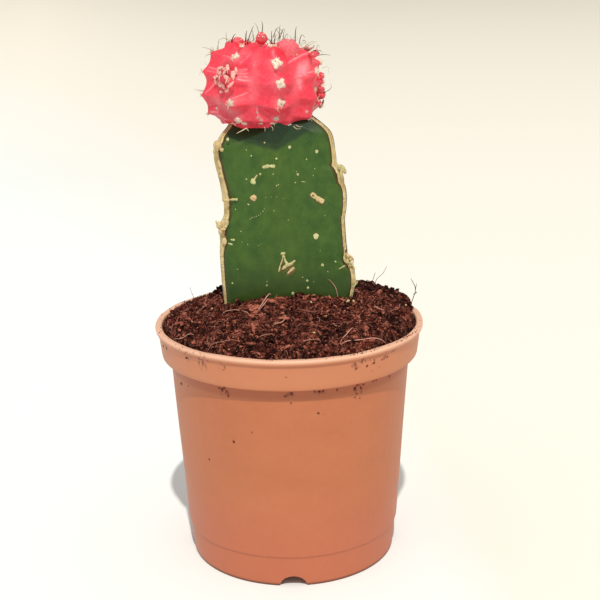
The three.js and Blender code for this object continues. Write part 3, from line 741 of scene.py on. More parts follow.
# Degrees round and height of the places where wet mix has run down the wall, and their reach
SOIL_MARKS = table("""
    -127.7 77.6 3.2, -137.3 78.2 2.4, -117.6 77.6 1.8, -62 77.3 1.7, -58.5 77.8 1.9, -53.5 77.2 1.9, -47.5 77.8 1.7,
    -42 78.2 1.5, -121 67.8 2.6, -57.5 66.6 3.2, -77 69 2.2, -90 68.6 2, -48 69 2.2, 35 77.6 3, 62 67.8 3.2,
    118 77.4 3.2, 160 68.2 2.6, 205 77.5 2.4
""", 3)


def rounded(section):
    """A section of straight runs whose corners are rounded: each corner gives way to the curve with that corner
    as its middle control point, which starts and ends at the rounding's distance from it"""
    corners, cuts = section[:, :2], section[:, 2]
    ways = unit(np.diff(corners, axis=0))
    t = np.linspace(0, 1, CORNER_STEPS)[:, None]
    runs = [corners[:1]]
    for before, corner, after, cut in zip(ways, corners[1:], ways[1:], cuts[1:]):
        start, end = corner - cut * before, corner + cut * after
        runs.append(start * (1 - t) ** 2 + 2 * corner * t * (1 - t) + end * t * t)
    points = np.concatenate([*runs, corners[-1:]])
    filled = [points[:1]]
    for a, b in zip(points, points[1:]):
        count = max(1, int(np.ceil(np.linalg.norm(b - a) / SECTION_STEP)))
        filled.append(mix(a, b, np.linspace(0, 1, count + 1)[1:, None]))
    return np.concatenate(filled)


def pot_columns():
    """Turns of the pot's columns, closer together across each notch, the height of the notch's arch there, and how
    many columns a quarter has. The arch is a four-point curve whose handles lean inwards."""
    t = np.linspace(0, 1, 25)[::-1]
    across = NOTCH_WIDTH * (0.5 * (1 - t) ** 3 + 1.08 * (1 - t) ** 2 * t - 1.08 * (1 - t) * t**2 - 0.5 * t**3)
    arch, up = np.arcsin(across / NOTCH_RADIUS), 3 * 1.32 * NOTCH_HEIGHT * t * (1 - t)
    side = np.linspace(arch[-1], QUARTER / 2, 26)[1:]
    turns = np.concatenate([-side[::-1], arch, side])[:-1]
    ups = np.pad(up, len(side))[:-1]
    return (turns + QUARTER * np.arange(QUARTERS)[:, None]).ravel(), np.tile(ups, QUARTERS), len(turns)


def pot_wall():
    """The pot's wall: at each turn, the rounded section from the recess under the floor plate, out round the foot,
    up to the rolled rim and down inside. Below the plate the rows squeeze up over a notch's arch. The lip wanders
    inwards by a few tenths, and the wall has one small dent."""
    turns, arch, _ = pot_columns()
    section = rounded(POT_SECTION)
    radius, height = section[:, :1], section[:, 1:]
    low = np.clip(height, 0, PLATE_UNDER)
    lifted = np.where(height < PLATE_UNDER, height + arch * (1 - low / PLATE_UNDER), height)
    outer = (radius > RECESS_RADIUS + 0.6) & (lifted < PLATE_UNDER)
    slope = (BAND_RADIUS - FOOT_RADIUS) / BAND_HEIGHT
    radius = radius + np.where(outer, slope * (lifted - height), 0)
    place = around(turns, POT_SECTION[:, 0].max(), lifted)
    lip = smooth(lifted, 76, 80.5)
    wander = 0.5 + 0.35 * uneven(place * [1, 1, 0.3], 9.0, 3) + 0.15 * uneven(place, 3.0, 5)
    radius = radius - lip * 0.32 * wander
    height = lifted - lip * 0.3 * (0.5 + 0.5 * uneven(place * [1, 1, 0], 7.0, 9))
    away = np.hypot((turns - DENT_TURN) * 39 / 1.6, (height - DENT_HEIGHT) / 1.4)
    radius = radius - 0.5 * bell(away, 1) + 0.06 * uneven(place, 24.0, 11) * (height > 12) * (height < 69)
    soiling = 0.12 + 0.3 * smooth(height, 78, 80.8)
    for degrees, up, reach in SOIL_MARKS:
        aside = 43 * np.radians(apart(np.degrees(turns), degrees))
        soiling = soiling + bell(np.hypot(aside, (height - up) / (0.9 if up > 70 else 0.55)), reach)
    return part(around(turns, radius, height), net(len(section), len(turns)), soiling=np.clip(soiling, 0, 1))


def floor_plate():
    """The plate in the foot, quarter by quarter: each surface runs from the edge of a drain hole straight to the
    quarter's own edge, which is the middle hole's arc, a radius, the wall's arc and the other radius"""
    turns, _, each = pot_columns()
    outer, half = np.append(turns[:each], turns[0] + QUARTER), QUARTER / 2
    inner = np.linspace(half, -half, 17)
    run = np.linspace(MIDDLE_HOLE, RECESS_RADIUS, 25)[1:-1]
    edge = np.concatenate([around(outer, RECESS_RADIUS), around(half, run[::-1]), around(inner, MIDDLE_HOLE),
                           around(-half, run)])
    middle = np.array([HOLE_RING, 0, 0])
    hole = middle + HOLE_RADIUS * unit(edge - middle)
    flat = mix(hole, edge, np.linspace(0, 1, 12)[:, None, None])
    outwards, ring = net(*flat.shape[:2]), net(2, flat.shape[1])[:, ::-1]
    parts = []
    for k in range(QUARTERS):
        c, s = np.cos(k * QUARTER), np.sin(k * QUARTER)
        spun = flat @ np.array([[c, s, 0], [-s, c, 0], [0, 0, 1]])
        low, high = spun + PLATE_UNDER * UP, spun + PLATE_TOP * UP
        parts += [part(high, outwards[:, ::-1], soiling=0.5), part(low, outwards, soiling=0.3),
                  part([low[0], high[0]], ring, soiling=0.3)]
    rim = (inner[:0:-1] + QUARTER * np.arange(QUARTERS)[:, None]).ravel()
    rings = [around(rim, MIDDLE_HOLE, height) for height in (PLATE_UNDER, PLATE_TOP)]
    return [*parts, part(rings, net(2, len(rim))[:, ::-1], soiling=0.3)]


piece("pot_shell", [pot_wall(), *floor_plate()], POT_PLASTIC, ["pot"], weld=0.002)


# ---- Stem ----

STEM_AXIS = table("56 1.2, 90 0.3, 118 -1, 140 -4, 151 -5.9", 2)  # height, and how far right the axis is there
STEM_SET_BACK = 3.0
FACE_DISTANCE = 12.4
STEM_FOOT, SKIN_FROM, STEM_TOP = 60.0, 84.0, 150.5
TIP_HALF, FULL_REACH, HOLLOW = 1.9, 24.5, 1.15
EDGE_DEPTH = 1.3
EDGE_FROM, EDGE_TO, EDGE_HALF, EDGE_BULGE = 70.0, 149.0, 1.45, 0.9
# Degrees round, how far the tip stands out of the solid's, how far out the wing's edge is by height, and the size
# of its horny cap by height
WINGS = {
    "left": (210, 0.6, table("""
        60 15, 72 23, 90 23.9, 104 24.1, 114.5 23.7, 118.5 21.7, 125 21.2, 134 21.7, 139.5 21.4, 142.5 19, 146.4 14.2,
        150.5 10.5
    """, 2), table("""
        70 0.7, 90 0.62, 98 0.62, 106 0.68, 109 0.95, 112 1, 116 1.1, 120 0.95, 123.5 1.15, 127 1.12, 134 1.08,
        139 1.05, 141.3 1.1, 144 0.72, 149 0.6
    """, 2)),
    "right": (330, 0.35, table("""
        60 15, 72 22.6, 90 23.4, 96 24.7, 100.5 24.2, 105 21.8, 115 21.5, 120 22.6, 127 23.4, 132 23.4, 134.5 22,
        142.2 21.8, 145 20.8, 148.9 16, 150.5 13.2
    """, 2), table("""
        70 0.8, 90 0.7, 96 0.8, 100 0.85, 102.5 1, 105 0.62, 108 0.52, 114 0.56, 118 0.62, 124 0.56, 127 0.7,
        129 1.05, 133 1.15, 135.5 0.78, 140 0.7, 149 0.6
    """, 2)),
    "back": (90, 0.35, table("""
        60 14, 72 22, 88 23.4, 101 24.2, 108 22.6, 112 21.9, 121 23, 130 23.2, 135 21.8, 141 21.9, 145 19.5, 150.5 12
    """, 2), table("""
        70 0.8, 90 0.7, 104 0.75, 107 1.15, 111 0.75, 122 0.85, 132 0.95, 136.5 1.2, 140 0.8, 149 0.6
    """, 2)),
}
FACES = {"front": -90, "right": 30, "left": 150}


def wing_half(distance, tip):
    """Half a wing's thickness at a distance from the axis: it thins along its hollow flanks and then to its tip"""
    start = FACE_DISTANCE / 2
    widest = FACE_DISTANCE * np.sin(np.radians(60))
    share = np.clip((FULL_REACH - distance) / (FULL_REACH - start), 0, 1)
    return np.minimum(TIP_HALF + (widest - TIP_HALF) * share**HOLLOW, TIP_HALF + (tip - distance))


def wing_at(side, height):
    """The directions out along a wing and across it, and by height the solid's tip, the tip that is seen, farther
    out where the horny cap is narrow, and the cap's size"""
    degrees, shift, outline, sizes = WINGS[side]
    turn, tip, size = np.radians(degrees), outline_at(outline, height) - EDGE_DEPTH, outline_at(sizes, height)
    return around(turn), leftward(turn), tip, tip + shift + 2.2 * np.clip(0.98 - size, 0, 0.45), size


def stem_axis(height):
    return np.stack(np.broadcast_arrays(outline_at(STEM_AXIS, height), STEM_SET_BACK, height), axis=-1)


def inside_stem(places, margin):
    """True where a place is within the stem's outline at its own height, shrunk by the margin"""
    height = places[..., 2]
    out_of_axis = places - stem_axis(height)
    found = np.zeros(height.shape, bool)
    for side in WINGS:
        out, across, tip, _, _ = wing_at(side, height)
        distance, aside, tip = out_of_axis @ out, np.abs(out_of_axis @ across), tip - margin
        sector = aside <= distance * np.tan(np.radians(60)) + 1e-9
        near = distance < FACE_DISTANCE / 2 - margin
        found |= sector & (near | ((distance < tip) & (aside < wing_half(distance, tip) - margin)))
    return found


def face_depth(aside):
    """How far a flat face lies from the axis at a place so far aside of its middle"""
    distance = np.linspace(FACE_DISTANCE / 2, FULL_REACH, 60)
    half = wing_half(distance, FULL_REACH + 5)
    sine, cosine = np.sin(np.radians(60)), np.cos(np.radians(60))
    return np.interp(np.abs(aside), sine * distance - cosine * half, cosine * distance + sine * half)


def stem_relief(points):
    """Small swells of the skin in millimetres: slow ones and finer ones"""
    return 0.24 * uneven(points, 11.0, 2) + 0.08 * uneven(points, 3.4, 4)


def stem_body():
    """The stem: at each height, three wings whose flanks run from the middle of a face to a blunt tip, moved out
    by the skin's swells"""
    heights = np.append(np.linspace(STEM_FOOT, SKIN_FROM, 10)[:-1], np.linspace(SKIN_FROM, STEM_TOP, 191))
    along = np.linspace(0, 1, 31) ** 0.8
    blunt = np.linspace(-1, 1, 7)[1:-1]
    inner = FACE_DISTANCE / 2
    wings = []
    for side in ("back", "left", "right"):
        out, across, _, tip, size = wing_at(side, heights[:, None])
        distance = inner + (tip - inner) * along
        half = wing_half(distance, tip)
        distances = np.hstack([distance, tip + 0.15 * (1 - blunt**2), distance[:, :0:-1]])
        asides = np.hstack([-half, TIP_HALF * blunt + 0 * tip, half[:, :0:-1]])
        flank = np.sign(asides) * (np.abs(asides) >= TIP_HALF - 1e-6)
        beside_cap = np.maximum(np.minimum(np.abs(asides), TIP_HALF) - EDGE_HALF * size, 0)
        from_cap = beside_cap + np.maximum(tip - distances, 0)
        wings.append((
            stem_axis(heights)[:, None] + distances[..., None] * out + asides[..., None] * across,
            out * 0.5 + flank[..., None] * across * 0.866,
            bell(distances - inner, 5),
            np.clip(1 - (tip - distances) / 2.2, 0, 1),
            np.clip(1.2 - from_cap / 2.2, 0, 1),
        ))
    points, way, middle, rim, brown = (np.concatenate(each, axis=1) for each in zip(*wings))
    fade = smooth(points[..., 2], SKIN_FROM, 90) * (1 - rim)
    points = points + way * (fade * stem_relief(points))[..., None]
    points = np.concatenate([points.reshape(-1, 3), [points[0].mean(axis=0), points[-1].mean(axis=0)]])
    faces = [net(*rim.shape), *lids(*rim.shape)]
    return part(points, faces, middle=np.append(middle, [0, 0]), rim=np.append(brown, [0, 0]))


piece("stem_flesh", [stem_body()], STEM_SKIN, ["rootstock"])


# Corky scars of the front face: the stroke's places as x and height | its width at its start and end, tan
SCAR_STROKES = chains("""
    -7 133.95, -5.5 134.2, -3.9 134.1 | 1.15 1.05 0.05; -9.3 131.3, -10 130.3, -10.3 129.6 | 0.3 0.9 0.1;
    -10.6 129.9, -10.9 129.2, -10.2 129 | 0.9 1.2 0.1; -10.8 124.1, -10.4 124.1 | 1.8 1.8 0.5;
    8.45 124.75, 9.4 123.95, 10.2 123.4, 11.2 122.8 | 1.6 1.75 0.35; 9.25 111.5, 9.2 111 | 1.5 1.75 0.1;
    -1.5 105.5, -1.4 104.9 | 1.5 1.2 0.15; -1.6 104.6, -1.9 103.2, -2.5 101.6, -3 99.7 | 0.35 0.5 0.3;
    -1.2 104.5, -0.9 103.4, -0.4 102.4 | 0.5 0.8 0.15; 2.1 103.1, 1 102.2, -0.3 101.7, -1.6 100.7 | 0.6 1.3 0.2;
    1.3 102.6, 0.3 101.9 | 0.5 1.1 0.15; 1.7 100.7, 1 100.1 | 1 0.8 0.3; 0.7 99.9, 0 99.1 | 0.7 0.5 0.5;
    16.6 100.4, 18.4 101.5 | 0.35 0.5 0.2; -17.8 123.8, -16.9 123.85, -15.9 123.8 | 0.5 0.95 0.2;
    -18 110.75, -17.2 110.6 | 0.65 0.75 0.1; -18.9 109.5, -17.9 109.1 | 0.5 0.7 0.1;
    -12.4 122.2, -12 121.9 | 0.3 0.3 0.1; 4.8 129.1, 6 129 | 0.2 0.22 0.2
""")
# Brown rims and hollows that lie flat round and between the scars: places as x and height | both widths
DARK_STROKES = chains("""
    -7.1 133.9, -5.5 134.15, -3.8 134.05 | 1.4 1.35; -9.4 131.3, -10.1 130.2, -10.75 129.2 | 0.7 1.75;
    -10.85 124.1, -10.35 124.1 | 2 2; 8.3 124.85, 9.4 123.9, 10.2 123.35, 11.35 122.7 | 2 2.15;
    9.25 111.6, 9.15 110.9 | 1.75 1.95; -1.5 104.6, -2 102.5, -2.5 100.2 | 1.1 1.2;
    1.7 101.7, 0.7 101, -0.5 100.1, -1.6 99.4 | 0.9 1.1; 1.9 100.3, 0.9 99.3, -0.3 98.5 | 1.5 1.1
""")
# Pale raised dots and dark pits: x, height and width
SCAR_DOTS = table("""
    -12.6 130.2 0.5, -8.2 131.7 0.75, -4.1 131.6 0.5, 3.7 131.4 0.75, 2.9 128.8 0.4, -3.1 127.9 0.5, -3 136.5 0.7,
    -10.9 137.6 0.5, -18.1 143 1, -6.6 141.7 0.6, 1.3 140.1 0.95, 9.8 138.6 1.1, 6.5 136.2 0.5, 9.1 133.2 0.35,
    11.2 101.6 1, 15.4 102.8 0.6, 6.2 96.4 0.8, 6.4 94 0.85, -7 95.1 0.55, -18.1 96.3 0.6, 1.5 92.1 1.1,
    3.3 132.3 0.3, -2.5 128.2 0.35, -12.4 139.5 0.35, 8.6 131 0.3, 12.9 99.4 0.35, -6.9 96.4 0.3, 4.7 97.6 0.35,
    8.3 96 0.3, -12.8 108.9 0.3, -4.1 119.8 0.3, 0.4 116.6 0.3, 12.2 118 0.3, -14.9 113.3 0.3, 10.5 106.4 0.3,
    -16.3 100.8 0.3, -16.4 120.6 0.35, -11.8 117.3 0.28, -11.2 117.7 0.36, -10.5 117.9 0.26, -9.8 118.1 0.34,
    -9 118.4 0.26, -8.4 118.9 0.3, -7.6 119.7 0.36, -7.2 120.4 0.26, -6.6 124.1 0.22, -4.9 124.3 0.2, -3.2 124.2 0.24,
    -1.1 123.7 0.2, -14.6 109.8 0.24, -9.4 108.4 0.26, -8.6 108.9 0.2
""", 3)
SCAR_PITS = table("8.45 124.65 0.6, 8.85 124.35 0.3, -2 101.6 0.7", 3)


def on_face(face, x, height, lift):
    """Places on a flat face, lifted off the skin, and the face's directions out and across. The x of a place is
    how far right it is on the front, and how far aside of the middle on another face."""
    turn = np.radians(FACES[face])
    normal, lateral = around(turn), leftward(turn)
    aside = x - (outline_at(STEM_AXIS, height) if face == "front" else 0)
    places = stem_axis(height) + aside[..., None] * lateral + face_depth(aside)[..., None] * normal
    swell = stem_relief(places) * smooth(height, SKIN_FROM, 90)
    return places + normal * (lift + swell)[..., None], normal, lateral


def stroke(face, row, start, end, seed, number, rise, sink, tan):
    """A corky stroke on a face: an oval carried along its path, whose width goes from the start's to the end's, is
    uneven by noise, and is drawn in to nothing at both ends by the square root of a parabola"""
    t, turn = np.linspace(0, 1, 26), np.arange(16) / 16 * TURN
    length, reach = run_of(row)[-1], (start + end) / 4
    path = curve_through(row, t)
    way = unit(np.gradient(path, axis=0))
    path = path + way * (t * (length + 2 * reach) - reach - t * length)[:, None]
    places, normal, lateral = on_face(face, *path.T, -sink)
    ends = np.sqrt(np.clip(1 - np.abs(2 * t - 1) ** (2 + 6 * length / (start + end)), 0, 1))
    width = mix(start, end, t) / 2 * ends * (1 + 0.42 * uneven(places * [1, 0, 1] + seed + number, 0.7, seed))
    across = way[:, :1] * UP - way[:, 1:] * lateral
    ripple = 1 + 0.45 * uneven(places[:, None] + np.sin(turn)[:, None] * 0.6 + number, 0.5, seed)
    up = (rise * width + 0.06 * ends)[:, None] * np.sin(turn) * ripple
    aside = width[:, None] * np.cos(turn)
    points = places[:, None] + aside[..., None] * across[:, None] + up[..., None] * normal
    return part(points, net(*up.shape), tan=tan)


def scar_dots(face, rows, seed, lift, tan):
    """Raised dots: uneven balls pressed flat on a face"""
    x, height, half = rows.T * [[1], [1], [0.5]]
    places, normal, lateral = on_face(face, x, height, lift)
    sizes = np.column_stack([half, half * 1.1, 0.12 + 0.25 * half])
    return lumps(np.random.default_rng(seed), places, sizes, 1, 0.12, axes=frames(lateral, normal), tan=tan)


def hidden_face_marks(face, seed):
    """Strokes and dots for a face that the photograph doesn't show, drawn at random like those of the front"""
    rng = np.random.default_rng(seed)
    parts = []
    for number in range(9):
        start = np.array([rng.uniform(-13, 13), rng.uniform(93, 138)])
        heading, length, bend = rng.uniform(0, TURN), rng.uniform(0.3, 3.6), rng.uniform(-0.5, 0.5)
        step = np.linspace(0, length, 4)
        row = start + step[:, None] * around(heading + bend * step)[:, :2]
        parts.append(stroke(face, row, rng.uniform(0.4, 1.7), rng.uniform(0.4, 1.6), seed, number, 0.3, 0.1, 0.0))
    dots = np.column_stack([rng.uniform(-15, 15, 22), rng.uniform(91, 144, 22), rng.uniform(0.45, 1.05, 22)])
    return [*parts, scar_dots(face, dots, seed, 0.0, 0.0)]


scar_parts = [stroke("front", *row[:3], 1 + k, 0, 0.3, 0.0, row[3]) for k, row in enumerate(SCAR_STROKES)]
scar_parts.append(scar_dots("front", SCAR_DOTS, 4, 0.0, 0.0))
scar_parts += [stroke("front", *row, 6, k, 0.04, 0.05, 0.9) for k, row in enumerate(DARK_STROKES)]
scar_parts.append(scar_dots("front", SCAR_PITS, 8, 0.3, 1.0))
scar_parts += hidden_face_marks("right", 21) + hidden_face_marks("left", 22)
piece("cork_scars", scar_parts, CORK, weld=0.001)


# ---- Horny edges ----

NUBS = [("right", 102.6, 0.75, 0.42), ("back", 107.0, 1.3, 0.5), ("back", 136.5, 1.3, 0.15)]
# Corky lumps of the edges' nodes: x, depth, height, half sizes across, deep and up, tan
NODE_LUMPS = table("""
    -21.4 -10.9 141.2 1.3 0.8 1.6 0.35, -21.5 -11.4 141.1 0.9 0.6 1.1 0.6, -20 -11.2 139.9 0.6 0.5 0.6 0.3,
    -21.7 -10.7 115.6 0.9 0.8 1.3 0.4, -19.3 -10.6 116.4 0.7 0.7 1.2 0.3, -20.5 -11 114.4 1 0.7 0.55 0.5,
    -21.3 -10.8 113.5 0.8 0.7 0.9 0.35, -19.6 -11 115.2 0.5 0.5 0.5 0.2, -19.3 -10.9 123.8 1.3 0.5 0.5 0.35,
    -20.2 -10.8 110.3 0.8 0.5 1.3 0.3, 16.9 -10.4 133.8 0.7 0.6 0.6 0.15, 17.9 -10.2 132.9 0.8 0.7 1.2 0.2,
    17.4 -10.6 131.3 0.5 0.5 1.3 0.3, 18.7 -9.6 132.1 0.5 0.6 0.8 0.2, 19.4 -9.8 104.6 0.6 0.6 0.8 0.4,
    20.3 -9.2 103.4 0.8 0.7 0.7 0.5, 19.2 -10.2 102.9 0.5 0.5 0.9 0.3, 20.7 -9.6 101.6 0.6 0.6 0.9 0.3,
    19.9 -10.1 101.3 0.5 0.5 0.6 0.7, 21.3 -9.2 100.2 0.5 0.6 0.7 0.4
""", 7)
# Papery curls and bristles of the nodes: x and height of root, middle and tip, depth, thickness, tan
NODE_CURLS = table("""
    18.5 105.3 18.1 104 18.6 102.6 -10.6 0.55 0.1, 18.6 104.9 20.1 104.6 20.6 103.4 -9.8 0.5 0.3,
    18.9 102.2 20.3 102.3 21.2 100.9 -10.3 0.5 0.1, 19.4 100.7 20.7 99.9 21.3 98.6 -9.8 0.5 0.15,
    20.4 104.4 21.2 103.2 21 102 -9.2 0.4 0.45, 18.5 105.8 18.9 106.3 18.9 106.8 -9.8 0.55 1,
    21.6 96.6 22.1 95.5 22.6 94.9 -9.2 0.3 0.2, 20.7 93.8 21.7 94.8 22.6 96.1 -9.8 0.6 0,
    16.1 133 17.1 134.3 17.9 133.9 -10.2 0.3 0.1, 17.9 133.9 18.5 133.4 18.4 132.4 -9.9 0.3 0.3,
    -22.6 117.2 -22.7 116.4 -22.3 115.6 -10.2 0.35 0.4, -21.4 112.2 -20.4 111.7 -19.4 112 -10.9 0.35 0.8
""", 9)


def horny_edge(side):
    """The horny edge of a wing: a half-round cap on the wing's tip at each height, which swells at each node and
    wanders a little, with its base sunk in the wing, and drawn to nothing at both ends"""
    heights = np.linspace(EDGE_FROM, EDGE_TO, 300)[:, None]
    out, across, _, tip, size = wing_at(side, heights)
    seed = WINGS[side][0]
    ends = np.sqrt(np.clip(1 - ((heights - EDGE_FROM) / (EDGE_TO - EDGE_FROM) * 2 - 1) ** 60, 0, 1))
    middle = stem_axis(heights) + tip[..., None] * out
    right, left = (1 + 0.14 * uneven(middle + k, 3.1, seed) + 0.14 * uneven(middle + k, 1.1, seed + 1) for k in (0, 50))
    turn = np.linspace(-np.pi / 2, np.pi / 2, 19)
    half = EDGE_HALF * size * ends * np.where(turn < 0, right, left)
    bulge = EDGE_BULGE * np.clip(size, 0.55, 1.15) * ends * right
    cracks = np.clip(0.5 + uneven(middle, 2.3, 5), 0, 1)
    groove = bell(np.abs(turn) - 0.5, 0.14) * smooth(heights, 138, 143) + 0.35 * bell(np.abs(turn) - 0.6, 0.16) * cracks
    far = np.hstack([bulge * (np.cos(turn) ** 0.6 - 0.36 * groove), -0.9 * ends, -0.9 * ends])
    aside = np.hstack([half * np.sin(turn), 0.5 * half[:, -1:], -0.5 * half[:, :1]])
    points = middle + far[..., None] * out + aside[..., None] * across
    points = points + 0.08 * uneven(points, 0.9, 7)[..., None] * out
    scorch = np.clip(uneven(points, 2.6, 8) * 1.2 - 0.6, 0, 0.45)
    scorch[:, : len(turn)] = np.maximum(scorch[:, : len(turn)], 0.95 * groove)
    return part(points, net(*scorch.shape), scorch=scorch)


def woolly_nub(rng, side, height, radius, age):
    """A nub of felt at a node: an uneven ball on the wing's tip with short curved bristles standing out of it"""
    out, across, tip, _, _ = wing_at(side, height)
    middle, count = stem_axis(height) + (tip + EDGE_DEPTH - 0.9) * out, 26
    sizes = radius * np.array([[1.15, 1.3, 0.75]])
    felt = lumps(rng, [middle], sizes, 2, 0.1, axes=frames(across, out), age=age)
    way = unit(out + 0.57 * rng.normal(size=(count, 3)))
    length = rng.uniform(0.7, 1.5, count) * radius
    paths = curls(middle + 0.5 * radius * way, way, 0.4 * rng.normal(size=(count, 3)), length, 5)
    radii = np.linspace(0.13, 0.05, 5) * np.ones((count, 1))
    return felt, tubes(paths, radii, 3, age=np.clip(age + rng.uniform(-0.2, 0.4, count), 0, 1))


def node_lumps():
    """The lumps as uneven balls and the curls as parabolas through their three places"""
    rng = np.random.default_rng(33)
    knots = lumps(rng, NODE_LUMPS[:, :3], NODE_LUMPS[:, 3:6], 3, 0.06, axes=np.eye(3), tan=NODE_LUMPS[:, 6])
    depth, thickness, tan = NODE_CURLS[:, 6:].T
    paths = arcs_through(*(np.column_stack([NODE_CURLS[:, k], depth, NODE_CURLS[:, k + 1]]) for k in (0, 2, 4)), 9)
    return [knots, tubes(paths, thickness[:, None] / 2 * (1 - 0.5 * np.linspace(-1, 1, 9) ** 2), 6, 0.5, tan=tan)]


nub_rng = np.random.default_rng(31)
nub_parts = [p for nub in NUBS for p in woolly_nub(nub_rng, *nub)]
for wing in WINGS:
    piece(f"horny_rim_{wing}", [horny_edge(wing)], HORN, [f"horny_edge_{wing}"], weld=0.001)
piece("edge_nubs", nub_parts, WOOL)
piece("edge_nodes", node_lumps(), CORK)


# ---- Head ----

HEAD_MIDDLE = np.array([-6.9, 1.5, 159.0])
HEAD_LEAN = np.radians(3.0)
HEAD_RADIUS, HEAD_HALF_HEIGHT = 19.8, 14.2
SQUARE_ABOVE, SQUARE_BELOW = 2.7, 3.2
RIBS = 8
FIRST_RIB = np.radians(-75.5)
PITCH = 6.6
AREOLE_SHIFT = np.array([0.29, 0.65, 0.1, 0.5, 0.85, 0.35, 0.55, 0.3])
LOWEST_AREOLE, CROWN_FROM = np.radians(-42), np.radians(58)
FRONT_RIBS = np.array([-75.5, -120.5, -30.5])
BURST_KNOB = np.array([-120.5, 8])
SEAT_TURN = np.array([[np.cos(HEAD_LEAN), 0, np.sin(HEAD_LEAN)], [0, 1, 0], [-np.sin(HEAD_LEAN), 0, np.cos(HEAD_LEAN)]])
HEAD_TOP = float(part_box("scion")[1].z) / MM
# Degrees round and up, spread and rise
SWELLINGS = table("-50 60 4.2 0.9, 62 40 5 2.4, -27 45 4.5 1.4, -76 -55 4.5 -1.3, -81 2 4.6 1.3", 4)
# Pale lines and patches of the skin, the wide ones at -43 and -38 degrees round being painted highlights: places in
# degrees round and up | half width in millimetres, strength, depth
HEAD_STREAKS = chains("""
    -114 7, -108 6, -101 5.5 | 0.28 0.9 0.3; -120 -6.2, -113.5 -4.3, -105.4 -1.8 | 0.3 1 0.35;
    -58 33, -51 38, -43 41, -33 42 | 0.34 0.9 0.5; -49 10, -44 13.5, -38 15.4, -30 16 | 0.32 1 0.6;
    -77.7 51, -76.7 40 | 0.3 0.7 0.1; -43 27, -45.7 19.4, -49 10, -46.4 1.4 | 1.35 0.8 0;
    -38 27, -43 16.6 | 1.5 0.9 0; -146 -13, -133 -20, -120 -24 | 2.2 0.4 0; -101 8, -100.4 -5 | 1.6 0.3 0;
    -115 18, -107 21 | 0.25 0.75 0.1; -115 13.6, -106 15.4 | 0.25 0.75 0.1; -114 9.8, -106 10.6 | 0.25 0.6 0.1;
    -115 16, -108 18.4 | 0.25 0.6 0.1; -162 16, -150.7 15.6 | 0.3 0.8 0.3;
    -163 -21, -145 -18, -124.5 -11.5 | 0.25 0.5 0.2; -110 44, -113 27 | 0.3 0.5 0.1;
    -151 40, -140 42.7 | 0.25 0.6 0.3; -94.2 -15, -94.6 -22, -93.4 -30, -90 -36 | 0.3 0.7 0.1;
    -88 3.5, -80 4 | 0.25 0.25 0.2; -68 3, -54 -4 | 0.25 0.35 0.35; -66 -10, -53 -17 | 0.25 0.35 0.3;
    -84 -11, -98 -16 | 0.25 0.3 0.3
""")
DULL_PATCH = table("-134.7 -18.7, -123.2 -26.4, -115.5 -37.4", 2)
# Tufts in the photograph's sight: degrees round and up, radius, age from cream (0) to brown (1)
FRONT_TUFTS = table("""
    -76.2 27.6 1.85 0, -73.7 4.2 1.6 0.03, -71.7 -8.3 1.45 0.12, -73.4 -33.1 0.95 0.2, -121.2 36 1.45 0.1,
    -119.5 -9.5 1.2 0.08, -115 -36.9 1.15 0.15, -27 15.5 1.25 0, -24 -0.5 1.15 0.25, -22 -15 1 0.25,
    -36.7 -22.2 0.45 0.1, -29.1 -33.6 0.9 0.15, -75.9 67 1.2 0, -29 55 1.1 0.1, -148.5 -25.9 0.6 0.2,
    -94.2 -24.7 0.35 0.15, -93.4 -33.6 0.4 0.15, -89.7 -36.9 0.45 0.2, -52 -48 0.6 0.1, -74.2 -52 0.9 0.1,
    -90 -50 0.6 0.15, -112 -50 1 0.05
""", 4)
